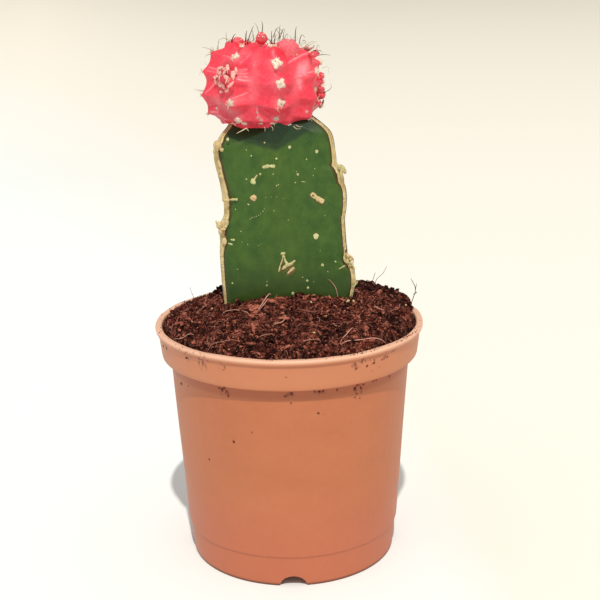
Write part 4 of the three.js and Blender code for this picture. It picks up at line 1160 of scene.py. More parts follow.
# Spines and hairs in the photograph's sight: x and height of root, middle and tip, depth, thickness, darkness
FRONT_HAIRS = table("""
    -7 174.9 -6.5 177 -6.8 178.6 -1.5 0.32 0.9, -11.5 172.4 -10.5 174.6 -9.3 177.2 -2 0.34 0.95,
    -7.7 175.2 -8.3 177.1 -9.1 177.8 -1.5 0.2 0.8, -9.3 172.9 -9.6 175 -10.1 176.4 -2 0.2 0.8,
    -12.1 172.4 -11.8 174.2 -11.5 175.8 -2 0.36 1, -16.5 172.6 -15.9 173.8 -15 174.9 -1.3 0.36 1,
    -16.7 173 -18.9 173.6 -20.5 172.4 -1.3 0.2 0.6, -17.9 172.4 -18 174.4 -18 175.6 -1.3 0.18 0.7,
    -22.1 169.7 -23.9 170.6 -25.7 170.9 -2.7 0.22 0.6, -21.9 169.9 -22.4 170.7 -22.8 171.2 -2.7 0.18 0.6,
    -22.3 168.9 -23.9 168.6 -24.9 168 -2.7 0.2 0.6, -25.4 157.6 -26.9 157.8 -28.8 158.2 -3.4 0.2 0.5,
    -25.5 157.2 -27.1 157.5 -28.2 157.4 -3.4 0.16 0.4, 3.6 172.2 3.7 174.7 4.1 176.9 -3 0.34 1,
    -3.7 171.9 -3.8 174.5 -3.5 175.6 0 0.28 0.8, -3.1 171.9 -2.7 173.9 -2.9 174.8 0 0.24 0.9,
    -1.3 172.1 -1.4 174.5 -2.7 176 0 0.24 0.9, -0.8 172.1 0 174.5 -1.1 175.7 0 0.22 0.9,
    -0.1 172.2 0.8 174.3 1.4 174 0 0.22 0.8, -3.3 174.2 -2 176.2 -0.8 175.5 0.5 0.22 0.9,
    -1.5 173.8 -1.2 176.3 -1 177.2 0.5 0.2 0.8, -1.1 174.1 -0.1 175.9 0.5 174.9 0.5 0.22 0.9,
    -1.9 172.9 -1 174.6 0 174.8 0 0.2 0.8, 4.9 172.3 5.6 174.1 6.7 173.4 -3 0.28 0.8,
    5.9 173.2 6.6 172.5 7 171.2 -3 0.2 0.7, 6 170.4 7.9 171.8 9.6 172.2 -4 0.2 0.5,
    6.3 169.9 8.5 171.4 10.4 172.3 -4 0.18 0.5, 8.5 170.5 9.6 171.1 9.1 169.7 -4 0.2 0.6,
    10.1 169.4 10.7 171.2 11.3 170.2 -4 0.18 0.6, 10.3 167.9 12.4 168.3 14.6 168 -5 0.24 0.9,
    9.9 169.1 11.5 169.4 11.9 168.5 -4 0.22 0.9, 12.2 156.4 14.5 157.4 14.5 159.2 -3 0.22 0.8,
    12 163.6 13.9 163.9 13.9 161.9 0 0.14 0.4, -12.1 146.8 -13.7 146 -15.1 145.3 -13.5 0.34 0,
    -12 146.9 -11.7 146.5 -11.3 145.9 -13.5 0.26 0, -6.4 147.2 -6.2 146.5 -6.3 145.8 -13.8 0.18 0.1,
    2.6 147 3.7 146.1 4.9 146.2 -11.5 0.2 0.1, 3.4 147.3 4.5 146.7 5.4 146.9 -11.5 0.18 0.1,
    -4.3 147.3 -3.7 146.5 -4.2 145.9 -13.8 0.18 0.1, -14.5 149.3 -15 148.5 -15.8 148.1 -13.5 0.18 0.1
""", 9)
# Young heads: place, half sizes, ribs, lean to the front, dullness
YOUNG_HEADS = table("""
    -6.9 -2.3 173.3 1.9 1.9 2 7 0.3 0.5, 1.3 -7.3 169.9 3.75 3.3 3.7 7 0.55 0, 1.2 18.9 165.8 2.5 2.3 2.4 8 -0.9 0.1,
    -17.4 15.9 161.8 2.1 2 2.1 7 -1.1 0.1, 11.6 4.2 160.8 1.3 1.4 1.3 5 0.2 0.55,
    11.4 4.2 158.9 1.1 1.2 1.1 5 0.2 0.7, 11.3 4 156.4 1.6 1.4 1.3 5 0.2 0.9, 11.7 3.9 154.6 1.4 1.3 1.2 5 0.2 1,
    10.6 4.2 152.4 1.1 1.1 1.2 5 0.2 0.8, 9.3 -8.3 168.6 1.6 1.3 0.9 6 0.6 1, -14.6 0 171.9 2.1 2 2 6 0.1 0.15,
    -17.3 -0.5 171 1.6 1.6 1.5 5 -0.2 0.3
""", 9)
# Dry folded petals of the burst knob: degrees round and up, half length and width, angle in the picture
PETALS = table("""
    -141.5 8.2 1.3 0.8 10, -137 12.6 1.1 0.6 35, -140.7 18.1 1.3 0.55 25, -126.2 18.6 1.1 0.65 -50,
    -117.5 10.4 1.3 0.8 -75, -116.2 15.9 1.1 0.6 -70, -124.2 7.4 1.1 0.8 -20, -147.7 2.7 1 0.6 -60,
    -139 0.9 1.1 0.65 -50, -131.2 0.7 1.2 0.8 -40, -118 1.7 1.3 0.55 40, -123.7 -0.8 0.8 0.5 30,
    -130.7 12.4 0.95 0.6 60, -134 6.5 0.9 0.55 80, -122.5 12.5 0.8 0.45 -20, -133 17.5 0.9 0.5 5,
    -143.5 13 0.8 0.5 70, -129 3.2 0.8 0.4 20, -136 -2.6 0.7 0.45 15, -145.5 6 0.7 0.4 -20, -121 4.6 0.9 0.4 65
""", 5)
# Dark flesh between the petals: degrees round and up, half size
DARK_HEARTS = table("""
    -127.5 5.2 1.5, -121.5 13 1.2, -136 5 1.3, -134 13.5 1.3, -140 9 1.2
""", 3)
# Flakes on the young heads: place, half length and width, angle in the picture, age
DRY_FLAKES = table("""
    6.3 -5.2 169.3 1 0.5 20 0.2, 7.4 -5.4 169.9 1 0.4 -10 0.75, 8.4 -6 168.9 1.1 0.5 5 0.9,
    9.3 -5.8 169.2 1 0.45 30 0.85, 10 -5.4 169.5 0.9 0.4 50 0.3, 10.6 -5.6 168.9 0.7 0.35 -30 0.8,
    7.9 -5.6 168.3 1.1 0.35 -5 0.1, 9.4 -6 168.1 0.9 0.35 10 0.15, 5.8 -5.4 168.6 0.9 0.45 70 0.1,
    8.6 -4.8 170.3 0.9 0.3 15 0.5, 11.6 3.9 154.1 0.7 0.35 60 0.2, 11.9 3.6 157.6 0.8 0.3 80 0.15,
    12.6 3.8 155.4 0.6 0.35 20 0.9, 12.3 4.2 152.6 0.7 0.35 75 0.7, 11.3 4 151.8 0.6 0.3 40 0.2
""", 7)


def squareness(latitude):
    return np.where(latitude > 0, SQUARE_ABOVE, SQUARE_BELOW)


def head_outline(latitude):
    """The head's smooth outline: radius R cos^(2/n), height H sin^(2/n), with n larger below the equator"""
    power, sine = 2 / squareness(latitude), np.sin(latitude)
    radius = HEAD_RADIUS * np.clip(np.cos(latitude), 0, None) ** power
    return radius, HEAD_HALF_HEIGHT * np.sign(sine) * np.abs(sine) ** power


MERIDIAN_DEGREES = np.arange(91)
MERIDIAN = run_of(np.column_stack(head_outline(np.radians(MERIDIAN_DEGREES))))


def arc_at(latitude):
    return np.sign(latitude) * np.interp(np.abs(np.degrees(latitude)), MERIDIAN_DEGREES, MERIDIAN)


def latitude_at(arc):
    return np.sign(arc) * np.radians(np.interp(np.abs(arc), MERIDIAN, MERIDIAN_DEGREES))


def head_smooth(azimuth, latitude):
    return around(azimuth, *head_outline(latitude))


def smooth_at(degrees):
    """Places on the smooth outline from their degrees round and up"""
    return head_smooth(*np.radians(degrees).T)


def rib_phase(azimuth, latitude):
    """How far a place is from its rib's crest, 0 to 1 at the furrow, and its place along the rib in areoles"""
    turns = (azimuth - FIRST_RIB) / TURN * RIBS
    rib = np.round(turns)
    shift = AREOLE_SHIFT[np.mod(rib, RIBS).astype(int)]
    return np.abs(turns - rib) * 2, arc_at(latitude) / PITCH - shift


def near_line(points, line):
    """The distance of each point from a chain of straight segments"""
    nearest = np.full(points.shape[:-1], np.inf)
    for a, b in zip(line[:-1], line[1:]):
        way = b - a
        share = np.clip((points - a) @ way / (way @ way), 0, 1)
        nearest = np.minimum(nearest, np.linalg.norm(points - a - share[..., None] * way, axis=-1))
    return nearest


def side_streaks(rng):
    """Pale lines of the ribs out of the photograph's sight: from beside an areole up into the furrow"""
    found = []
    for azimuth, latitude in np.degrees(AREOLES):
        if np.abs(apart(azimuth, FRONT_RIBS)).min() < 10 or abs(latitude) > 50:
            continue
        for side in (-1, 1):
            if rng.random() < 0.7:
                reach, climb = rng.uniform(13, 22), rng.uniform(-2, 12)
                steps = np.array([[side * 4, 0], [side * reach * 0.6, climb * 0.7], [side * reach, climb]])
                line = np.array([azimuth, latitude + 2]) + steps
                found.append((line, 0.28, rng.uniform(0.4, 0.9), rng.uniform(0.2, 0.5)))
    return found


def head_point(azimuth, latitude, fine=True, streaks=()):
    """A point of the head: the smooth outline scaled in by the furrows, which grow shallow to the base, by the
    notches between areoles, and by the hollow between a notch and the furrow, and scaled out by the swellings.
    The crown dips. Fine rounds the crests, adds slow and small unevenness, and presses each streak's lower side
    in."""
    place = head_smooth(azimuth, latitude)
    from_crest, along = rib_phase(azimuth, latitude)
    notch = np.abs(np.sin(np.pi * along))
    fade = np.minimum(1, np.cos(latitude) / 0.45)
    shallow = mix(0.25, 1, smooth(np.degrees(latitude), -55, -12))
    slope, hollow = from_crest**1.15, from_crest
    if fine:
        slope = hollow = 1.16 * from_crest**2 / (from_crest + 0.16)
        notch = np.sqrt(notch**2 + 0.01)
    inward = fade * (3.1 * shallow * slope + 1.4 * notch * (1 - hollow) + 2.8 * notch * hollow * (1 - hollow))
    for *middle, spread, rise in SWELLINGS:
        inward = inward - rise * bell(np.linalg.norm(place - smooth_at(middle), axis=-1), spread)
    if fine:
        inward = inward - fade * (0.34 * uneven(place, 5.2, 6) + 0.1 * uneven(place, 1.9, 8) + 0.15)
    for line, width, _, depth in streaks:
        if depth:
            below = near_line(place, smooth_at(line) - 1.6 * width * UP)
            inward = inward + fade * depth * bell(below, 2.4 * width)
    dip = np.where(latitude > 0, 2.6 * bell(np.hypot(place[..., 0] - 1.2, place[..., 1]), 6.5), 0)
    return place * (1 - inward / np.linalg.norm(place, axis=-1))[..., None] - dip[..., None] * UP


def head_normal(azimuth, latitude):
    """The direction out of the smooth outline"""
    radius, height = head_outline(latitude)
    power = squareness(latitude) - 1
    out = (radius / HEAD_RADIUS) ** power / HEAD_RADIUS
    up = np.sign(height) * (np.abs(height) / HEAD_HALF_HEIGHT) ** power / HEAD_HALF_HEIGHT
    return unit(around(azimuth, out, up))


def seated(points):
    """From the head's own frame to its seat on the stem: leant to the right, and moved"""
    return points @ SEAT_TURN.T + HEAD_MIDDLE


def head_body(streaks):
    """The head's skin on a grid of azimuth by arc length, with marks for its colours. Points inside the top of the
    stem are lifted over it."""
    rows, columns = 200, RIBS * 42
    arcs, turns = np.linspace(-1, 1, rows) * MERIDIAN[-1] * 0.9999, np.arange(columns) / columns * TURN
    latitude, azimuth = np.meshgrid(latitude_at(arcs), FIRST_RIB + turns, indexing="ij")
    own = head_point(azimuth, latitude, streaks=streaks)
    own[0], own[-1] = own[0].mean(axis=0), own[-1].mean(axis=0)
    points = seated(own)
    height = points[..., 2]
    points[..., 2] = np.where(inside_stem(points, 1.0), np.maximum(height, STEM_TOP + 0.2), height)
    outline, up = head_smooth(azimuth, latitude), own[..., 2]
    from_crest, _ = rib_phase(azimuth, latitude)
    pale = 0.3 * smooth(from_crest, 0.6, 1.0) * (0.5 + 0.5 * uneven(own, 5.0, 12)) * smooth(up, -9, 0)
    for line, width, strength, _ in streaks:
        pale = np.maximum(pale, strength * bell(near_line(outline, smooth_at(line)), width))
    for *middle, size, _ in FRONT_TUFTS:
        pale = np.maximum(pale, 0.75 * bell(np.linalg.norm(outline - smooth_at(middle), axis=-1), 1.2 * size))
    away = np.radians(apart(np.degrees(azimuth), 100))
    dull = bell(near_line(outline, smooth_at(DULL_PATCH)), 2.2) + 0.5 * bell(np.hypot(away / 0.4, (up + 5) / 4), 1)
    marks = {"pale": np.clip(pale, 0, 1), "height": up / HEAD_HALF_HEIGHT, "dull": np.clip(dull, 0, 1)}
    return part(points, net(rows, columns), **marks)


def areole_places():
    """The azimuth and latitude of every areole: one on each point of each crest, down to where the graft hides it"""
    farthest, places = MERIDIAN[-1] - 2.5, []
    for rib, shift in enumerate(AREOLE_SHIFT):
        step = np.ceil(-farthest / PITCH - shift)
        while (step + shift) * PITCH < farthest:
            latitude = latitude_at((step + shift) * PITCH)
            if latitude > LOWEST_AREOLE:
                places.append((FIRST_RIB + rib * TURN / RIBS, float(latitude)))
            step += 1
    return np.array(places)


def areole_axes(azimuth, latitude):
    """Across, up and out directions at places on the head, as the columns of a matrix for each"""
    return frames(leftward(azimuth), head_normal(azimuth, latitude))


AREOLES = areole_places()
AREOLE_DEGREES = np.degrees(AREOLES)
head_rng = np.random.default_rng(37)
piece("head_flesh", [head_body(HEAD_STREAKS + side_streaks(head_rng))], FLESH, ["scion"], weld=0.0005)


def wool_tufts(rng, spots, radii, age, hairs, lift, splits):
    """Felt tufts on the skin: a flat uneven disc with four or five blunt corners, a fringe of short hairs that lie
    nearly flat round it, and a few dark stubs standing in its middle"""
    axes, count = areole_axes(*spots.T), len(spots)
    places = head_point(*spots.T) + axes[..., 2] * lift
    base, faces = ball(splits)
    turn = np.arctan2(base[:, 1], base[:, 0])
    corners, first = rng.integers(4, 6, (count, 1)), rng.uniform(0, TURN, (count, 1))
    star = 0.8 + 0.12 * np.cos(corners * (turn - first)) + 0.09 * np.cos(3 * turn + first)
    crumpled = 1 + 0.16 * uneven(base * 1.7 + 9.0 * np.arange(count)[:, None, None], 0.55, 3)
    disc = base * crumpled[..., None] * np.stack([star, star, 0.42 + 0 * star], axis=-1) * radii[:, None, None]
    parts = [many(seated(np.einsum("nij,npj->npi", axes, disc) + places[:, None]), [faces], age=age)]
    for each, low, high, inner, reach, thick, thin, darker in (
        (hairs, 0, 24, 0.6, 0.36, 0.12, 0.05, 0.0), (hairs // 3, 25, 80, 0.3, 0.34, 0.1, 0.04, 0.0),
        (4, 55, 90, 0.1, 0.5, 0.09, 0.04, 0.7),
    ):
        owner = np.repeat(np.arange(count), each)
        turn = rng.uniform(0, TURN, len(owner))
        lean = np.radians(rng.uniform(low, high, len(owner)))
        size = radii[owner] * (1 + 0.25 * np.cos(corners[owner, 0] * (turn - first[owner, 0])))
        way = np.einsum("nij,nj->ni", axes[owner], around(turn, np.cos(lean), np.sin(lean)))
        length = reach * size * rng.uniform(0.6, 1.0, len(owner))
        curl = 0.3 * rng.normal(size=(len(owner), 3))
        paths = curls(places[owner] + way * (inner * size)[:, None], way, curl, length, 4)
        thickness = np.linspace(thick, thin, 4) * rng.uniform(0.8, 1.3, (len(owner), 1))
        tint = np.clip(age[owner] + darker + rng.normal(0, 0.04, len(owner)), 0, 1)
        parts.append(tubes(seated(paths), thickness, 3, age=tint))
    return parts


in_sight = (np.abs(apart(AREOLE_DEGREES[:, None], FRONT_TUFTS[:, :2])) < [14, 13]).all(axis=2).any(axis=1)
out_of_sight = ~in_sight & ~(np.abs(apart(AREOLE_DEGREES, BURST_KNOB)) < [5, 12]).all(axis=1)
other_azimuth, other_latitude = AREOLE_DEGREES[out_of_sight].T
on_left = np.abs(apart(other_azimuth, -165.5)) < 5
other_radius = head_rng.uniform(1.15, 1.5, len(on_left))
other_radius = np.where(on_left, 0.55, np.where(other_latitude > 50, 0.85, other_radius))
other_age = np.clip(head_rng.normal(0.06, 0.08, len(on_left)) + 0.15 * on_left, 0, 0.4)
piece("areole_wool", [
    *wool_tufts(head_rng, np.radians(FRONT_TUFTS[:, :2]), FRONT_TUFTS[:, 2], FRONT_TUFTS[:, 3], 40, 0.1, 3),
    *wool_tufts(head_rng, AREOLES[out_of_sight], other_radius, other_age, 30, 0.08, 2),
], WOOL)


def spine_reach(low, high, latitude):
    """The length of the spines, which grow longer from the head's base to its crown"""
    return mix(low, high, (0.5 + 0.5 * np.sin(latitude)) ** 1.6)


def solid_spines():
    """Root, direction, the skin's direction, length and latitude of each spine of the solid head, from its draws"""
    draw = Draws(23)
    rows = []
    for azimuth, latitude in AREOLES:
        here = np.array([[azimuth], [latitude]])
        place, (side, up, normal) = head_point(*here, False)[0], areole_axes(*here)[0].T
        for i in range(3):
            turn = (i + mix(0.25, 0.65, draw())) / 3 * TURN
            lean = np.radians(48) * mix(0.6, 1.1, draw())
            way = normal * np.cos(lean) + side * np.sin(lean) * np.cos(turn) + up * (np.sin(lean) * np.sin(turn) + 0.25)
            length = spine_reach(4, 8.2, latitude) * mix(0.75, 1, draw())
            rows.append([*(place - 0.5 * normal), *way, *normal, length, latitude])
    rows = np.array(rows)
    return rows[:, :3], unit(rows[:, 3:6]), rows[:, 6:9], rows[:, 9], rows[:, 10]


def curved_spines(rng, roots, ways, lengths, thickness, age, curl):
    """Tapering spines that leave their root straight and bend more and more to one side, below the head's top"""
    aside = np.cross(ways, rng.normal(size=ways.shape))
    bends = curl * rng.uniform(-1, 1, (len(ways), 1)) * unit(aside)
    paths = seated(curls(roots, ways, bends, lengths, 8))
    rise, room = paths - paths[:, :1], HEAD_TOP - 2.2 - paths[:, 0, 2]
    share = np.minimum(1, room / np.maximum(rise[..., 2].max(axis=1), 1e-6))
    radii = thickness[:, None] / 2 * (1 - 0.75 * np.linspace(0, 1, 8) ** 1.3)
    return tubes(paths[:, :1] + rise * share[:, None, None], radii, 4, age=age)


def areole_spines(rng):
    """The solid's spines. In front they are short, pale and pressed down, and on the crown short and dark."""
    root, way, normal, length, latitude = solid_spines()
    crown = latitude > CROWN_FROM
    front = (normal[:, 1] < 0.42) & ~crown
    flatter = unit(way - 0.75 * (way * normal).sum(axis=1, keepdims=True) * normal)
    way = np.where(front[:, None], flatter, way)
    length = length * np.where(front, 0.3, np.where(crown, 0.5, 0.8))
    darkness = np.clip(smooth(np.degrees(latitude), -20, 30) + rng.normal(0, 0.12, len(way)), 0, 1)
    darkness = np.where(front, 0.05, darkness) * 0.85
    kept = ~crown | (np.hypot(root[:, 0] - 2.0, root[:, 1] - 1.0) < 7.5)
    root = root + np.where(front[:, None], 0.9 * normal, 0)
    return curved_spines(rng, root[kept], way[kept], length[kept], np.full(kept.sum(), 0.18), darkness[kept], 0.35)


def back_spines(rng):
    """Five more spines on each areole that faces back"""
    facing_back = out_of_sight & (head_normal(*AREOLES.T)[:, 1] > 0.4) & (AREOLES[:, 1] < -LOWEST_AREOLE)
    spots = np.repeat(AREOLES[facing_back], 5, axis=0)
    count, latitude = len(spots), spots[:, 1]
    turn, lean = rng.uniform(0, TURN, count), np.radians(rng.uniform(30, 78, count))
    own_way = around(turn, np.sin(lean), np.cos(lean)) + np.array([0, 0.15, 0])
    way = unit(np.einsum("nij,nj->ni", areole_axes(*spots.T), own_way))
    length = spine_reach(3.0, 6.0, latitude) * rng.uniform(0.5, 1, count)
    age = np.clip(smooth(np.degrees(latitude), -30, 20) + rng.normal(0, 0.2, count), 0, 1)
    return curved_spines(rng, head_point(*spots.T), way, length, rng.uniform(0.12, 0.2, count), age, 0.4)


def front_hairs(rng):
    """Hairs through a root, a middle and a tip, each leaning a little to the front or to the back"""
    x, z, (depth, thickness, age) = FRONT_HAIRS[:, 0:6:2].T, FRONT_HAIRS[:, 1:6:2].T, FRONT_HAIRS[:, 6:].T
    far = depth + 0.8 * rng.uniform(-1, 1, len(depth))
    y, z = (depth, (depth + far) / 2, far), (z[0] - 0.8 * (z[0] > 170), *z[1:])
    paths = arcs_through(*(np.column_stack(place) for place in zip(x, y, z)), 10)
    return tubes(paths, thickness[:, None] / 2 * (1 - 0.7 * np.linspace(0, 1, 10) ** 1.5), 4, age=age)


spine_rng = np.random.default_rng(43)
piece("head_spines", [areole_spines(spine_rng), back_spines(spine_rng), front_hairs(spine_rng)], SPINE)


def small_head(rng, place, sizes, ribs, lean, dull):
    """A young head: a ball stretched by its sizes with shallow ribs, waves along them, and a dimple on top"""
    rows, columns = 30, 64
    turns = np.arange(columns) / columns * TURN
    latitude, azimuth = np.meshgrid(np.linspace(-QUARTER, QUARTER, rows), turns, indexing="ij")
    bulge = 1 - 0.13 * np.abs(np.sin(ribs / 2 * azimuth)) ** 1.3 * np.cos(latitude)
    wave = 0.05 * np.sin(5 * latitude + rng.uniform(0, TURN)) * np.cos(latitude) - 0.12 * smooth(latitude, 1.2, 1.57)
    way = around(azimuth, np.cos(latitude), np.sin(latitude))
    points = way * (bulge + wave + 0.05 * uneven(way * 2.5 + place, 1.0, 5))[..., None] * sizes
    points[0], points[-1] = points[0].mean(axis=0), points[-1].mean(axis=0)
    c, s = np.cos(lean), np.sin(lean)
    points = points @ np.array([[1, 0, 0], [0, c, s], [0, -s, c]]) + place
    pale = (0.52 if sizes[0] > 3 else 0.28) * (0.35 + 0.65 * np.abs(np.sin(ribs * azimuth + 6 * latitude)))
    return part(points, net(rows, columns), pale=pale, height=-0.1, dull=dull)


def folded_petals(rng):
    """Petals: long flat uneven balls on the skin, turned in its plane and tilted at random"""
    spots, (half, width, angle) = np.radians(PETALS[:, :2]).T, PETALS[:, 2:].T
    axes = areole_axes(*spots)
    turn = (np.radians(angle) + rng.normal(0, 0.1, len(angle)))[:, None]
    along = np.cos(turn) * axes[..., 0] + np.sin(turn) * axes[..., 1]
    normal = square_to(unit(axes[..., 2] + 0.35 * rng.normal(size=along.shape)), along)
    places = head_point(*spots) + axes[..., 2] * rng.uniform(0.5, 1.1, (len(half), 1))
    sizes = np.column_stack([half * 1.1, width * 0.95, width * 0.5])
    age = np.clip(rng.normal(0.2, 0.08, len(half)), 0, 1)
    return lumps(rng, seated(places), sizes, 2, 0.2, axes=SEAT_TURN @ frames(along, normal), age=age)


def dry_flakes(rng):
    """Flakes: flat uneven balls in the plane of the picture, tilted at random"""
    half, width, angle, age = DRY_FLAKES[:, 3:].T
    turn = np.radians(angle)
    along = np.column_stack([np.cos(turn), 0 * turn, np.sin(turn)])
    normal = square_to(unit(np.array([0.3, -1.0, 0.35]) + 0.3 * rng.normal(size=along.shape)), along)
    sizes = np.column_stack([half, width, width * 0.6])
    return lumps(rng, DRY_FLAKES[:, :3], sizes, 2, 0.14, axes=frames(along, normal), age=age)


def young_wool(rng):
    """Specks of wool on the young heads: few on the large one, most on those of a middle size"""
    specks = []
    for row in YOUNG_HEADS:
        place, sizes = row[:3], row[3:6]
        count = 3 if sizes[0] > 3 else 16 if sizes[0] > 1.8 else 4
        spots = place + unit(rng.normal(size=(count, 3)) + [0, -0.3, 0.3]) * sizes * 0.93
        radius = rng.uniform(0.13, 0.24, (count, 1)) * (1.0 + 0.1 * sizes[0])
        specks.append(lumps(rng, spots, radius * [1.0, 1.0, 0.8], 1, 0.2, age=rng.uniform(0, 0.25, count)))
    return specks


young_rng, petal_rng = np.random.default_rng(49), np.random.default_rng(47)
young = [small_head(young_rng, row[:3], row[3:6], *row[6:]) for row in YOUNG_HEADS]
heart_places, heart_sizes = seated(head_point(*np.radians(DARK_HEARTS[:, :2]).T)), np.repeat(DARK_HEARTS[:, 2:], 3, 1)
young.append(lumps(young_rng, heart_places, heart_sizes, 2, 0.15, pale=0.0, height=-1.0, dull=0.6))
piece("young_heads", young, FLESH, weld=0.0005)
piece("dry_petals", [folded_petals(petal_rng), dry_flakes(petal_rng)], PETAL)
piece("young_wool", young_wool(np.random.default_rng(53)), WOOL)


# ---- Potting mix ----

SOIL_EDGE, BED_EDGE = 79.4, 42.35
MOUND_Y, MOUND_RISE, MOUND_RADIUS, MOUND_WIDTH = -3.0, 12.0, 41.0, 1.18
HEAPS = [(30, 17, 3, 12), (24, -9, 2.2, 4.5)]  # place, rise and spread
BED_SIDES = table("0 5.45, 33.25 5.45, 34.65 11, 38.65 69.8, 41.55 71.6", 2)
STANDING_LOW, STANDING_HIGH, STANDING_BEND = table("-31 14 80, -34.5 16 88, -0.6 0 1", 3)
# Pale bits: place and size
PALE_BITS = table("""
    19.1 -13.9 0.62, 21.1 -13.2 0.5, 7.3 -15.4 0.35, -25 -12.5 0.4, 7.9 -32.8 0.4, 39.1 -1.3 0.4, -31 -18 0.3,
    12 -24 0.3, 27 12 0.4, -20 24 0.4
""", 3)
# Dark patches: place, reach and depth
DARK_PATCHES = table("""
    -11.4 -38 6.5 0.5, -27.2 -24.5 4 0.2, 4.1 -20.1 3.5 0.2, 12.2 -34.1 4 0.5, 35.4 -17.4 5 0.5, 28 13 10 0.65,
    -38 -6 4 0.25, 39.5 5 5 0.4
""", 4)
# Dark crumbs behind on the left and at the right: place, height over the mix, half size, shade
DARK_CRUMBS = table("""
    -23 6.5 0.4 1.3 0.02, -24.6 6 0.3 1.2 0.02, -26.2 5.6 0.1 1 0.02, -24 7.5 0.4 1.2 0.02, -23.4 6.3 1.7 1.1 0.02,
    -24.9 6.2 1.4 0.9 0.02, -22.9 6.5 2.8 0.7 0.02, -24 6.3 2.6 0.75 0.02, 38 8.5 0.6 1.3 0.2, 39.2 6.8 0.8 1.2 0.05,
    40 5 0.9 1.1 0.15, 40.5 3.2 0.8 1 0.05, 39.5 5.8 1.9 0.9 0.1, 40.3 4.3 1.8 0.8 0.25, 38.8 7.8 1.8 0.9 0.05,
    41 2.4 1 0.8 0.1, 41.4 3.6 1.6 0.7 0.1, 36.8 10.2 0.6 1.1 0.3, 35.4 12.2 0.7 1 0.1, 33.5 14.5 0.8 1.1 0.1,
    31.5 16.5 0.8 1.2 0.15, 38.2 6 0.9 1 0.3
""", 5)
# Threads in the photograph's sight: places across and deep | thickness, shade, how far the far end stands up
SEEN_THREADS = chains("""
    -10.4 -21.4, -8.4 -16.3, -5.6 -11 | 0.36 1 1.6; -9.9 -20.6, -7.5 -16.3, -6.3 -13.6 | 0.3 0.9 0.8;
    -21.4 -16.9, -17 -17.7, -12.3 -20.9 | 0.26 0.85 0; -5.2 -28.2, -2.2 -27.7, -0.9 -25.5, -1.9 -23.8 | 0.3 0.9 0.4;
    -37.5 -19.1, -33.3 -24, -29.4 -25.8 | 0.28 0.85 0; -25.4 -32.8, -21.2 -33.1, -15.8 -33.7 | 0.24 0.72 0.3;
    15.8 -34.9, 18 -31.5, 20.5 -27.9 | 0.3 0.85 0.6; 16.1 -35, 22.1 -32.9, 26.3 -30.7, 30.7 -28 | 0.3 0.95 0;
    13.7 -26.6, 14.8 -28.3, 16.3 -28.1 | 0.24 0.8 0; -9.3 -33.5, -4.6 -32.6 | 0.24 0.75 0;
    4 -36.1, 9.9 -34.8 | 0.24 0.8 0; -20.9 -27, -15.3 -31.5 | 0.3 0.55 0; 27.5 -13, 29 -14.1, 31.2 -13.2 | 0.24 0.9 0;
    -14 -25, -8 -27, -2 -26 | 0.22 0.6 0; 33 -12, 36 -8, 37 -3 | 0.24 0.7 0.5; -30 -12, -26 -8 | 0.24 0.7 0.3;
    2 -20, 7 -22, 11 -20.5 | 0.22 0.65 0; 20 20, 26 17, 30 10 | 0.28 0.9 0.3; -28 12, -20 21, -12 24 | 0.28 0.9 0.3;
    -5 31, 4 33, 12 30 | 0.26 0.8 0.2
""")
# Hairs that stand up at the wall and the stem's foot: places in space | thickness, shade
STANDING_HAIRS = chains("""
    40.7 3 82.5, 42 3 86.7, 42.6 3 88.5, 42.5 3 90.4, 41.1 3 93.2 | 0.26 0.05;
    42.6 3 88.4, 42.8 3.2 89.9, 43.1 3.3 91.4 | 0.18 0.1; 42 3.1 87.6, 43.2 3.2 88.4 | 0.3 0.05;
    28.4 19 84.5, 29.2 19 88.1, 30.2 19 91.4 | 0.2 0.15;
    30 19.5 85, 30.6 19.5 88.6, 32.9 19.5 90.9, 34.2 19.5 93.3 | 0.18 0.2;
    13.2 -10.4 97, 14.6 -10.4 95.4, 15.6 -10.6 93.4, 16.2 -10.8 90 | 0.22 0.85
""", 3)
# Count, shortest, longest, thickness, steps, wander, arch, darkest and palest shade of the threads lying anyhow
LYING_THREADS = [(2600, 1.0, 3.6, 0.26, 5, 0.9, 0.6, 0.0, 0.7), (360, 3.5, 8.0, 0.15, 10, 1.2, 0.8, 0.1, 0.85),
                 (26, 9.0, 15.0, 0.16, 20, 1.6, 1.0, 0.5, 0.9)]


def soil_height(x, y):
    """The mix without its crumbs: a domed mound and two heaps, rolled off to the edge"""
    from_middle = np.hypot(x / MOUND_WIDTH, y - MOUND_Y) / MOUND_RADIUS
    rise = MOUND_RISE * np.clip(1 - from_middle**2, 0, None)
    for heap_x, heap_y, heap_rise, spread in HEAPS:
        rise = rise + heap_rise * bell(np.hypot(x - heap_x, y - heap_y), spread * 2**0.5)
    return SOIL_EDGE + rise * (1 - smooth(np.hypot(x, y), 40.2, 42.3))


def behind_left(x, y):
    """How far a place is in the low part of the mix behind on the left, where the rim shows over it"""
    turn = np.degrees(np.arctan2(y, x))
    return smooth(np.hypot(x, y), 24, 32) * smooth(turn, 88, 102) * (turn > 0)


def on_mix(x, y, lift=0.0):
    """Places over the mix with the relief that its solid has, which is lower behind on the left"""
    coarse, fine = relief(x / 2.6 + 40, y / 2.6 + 40), relief(x / 1.3 + 90, y / 1.3 + 90)
    edge = 1 - 0.6 * smooth(np.hypot(x, y), 40.2, 42.3)
    height = soil_height(x, y) + 1.3 * edge * (coarse + 0.5 * fine - 0.75) - 0.4 * behind_left(x, y)
    return np.stack([x, y, height + lift], axis=-1)


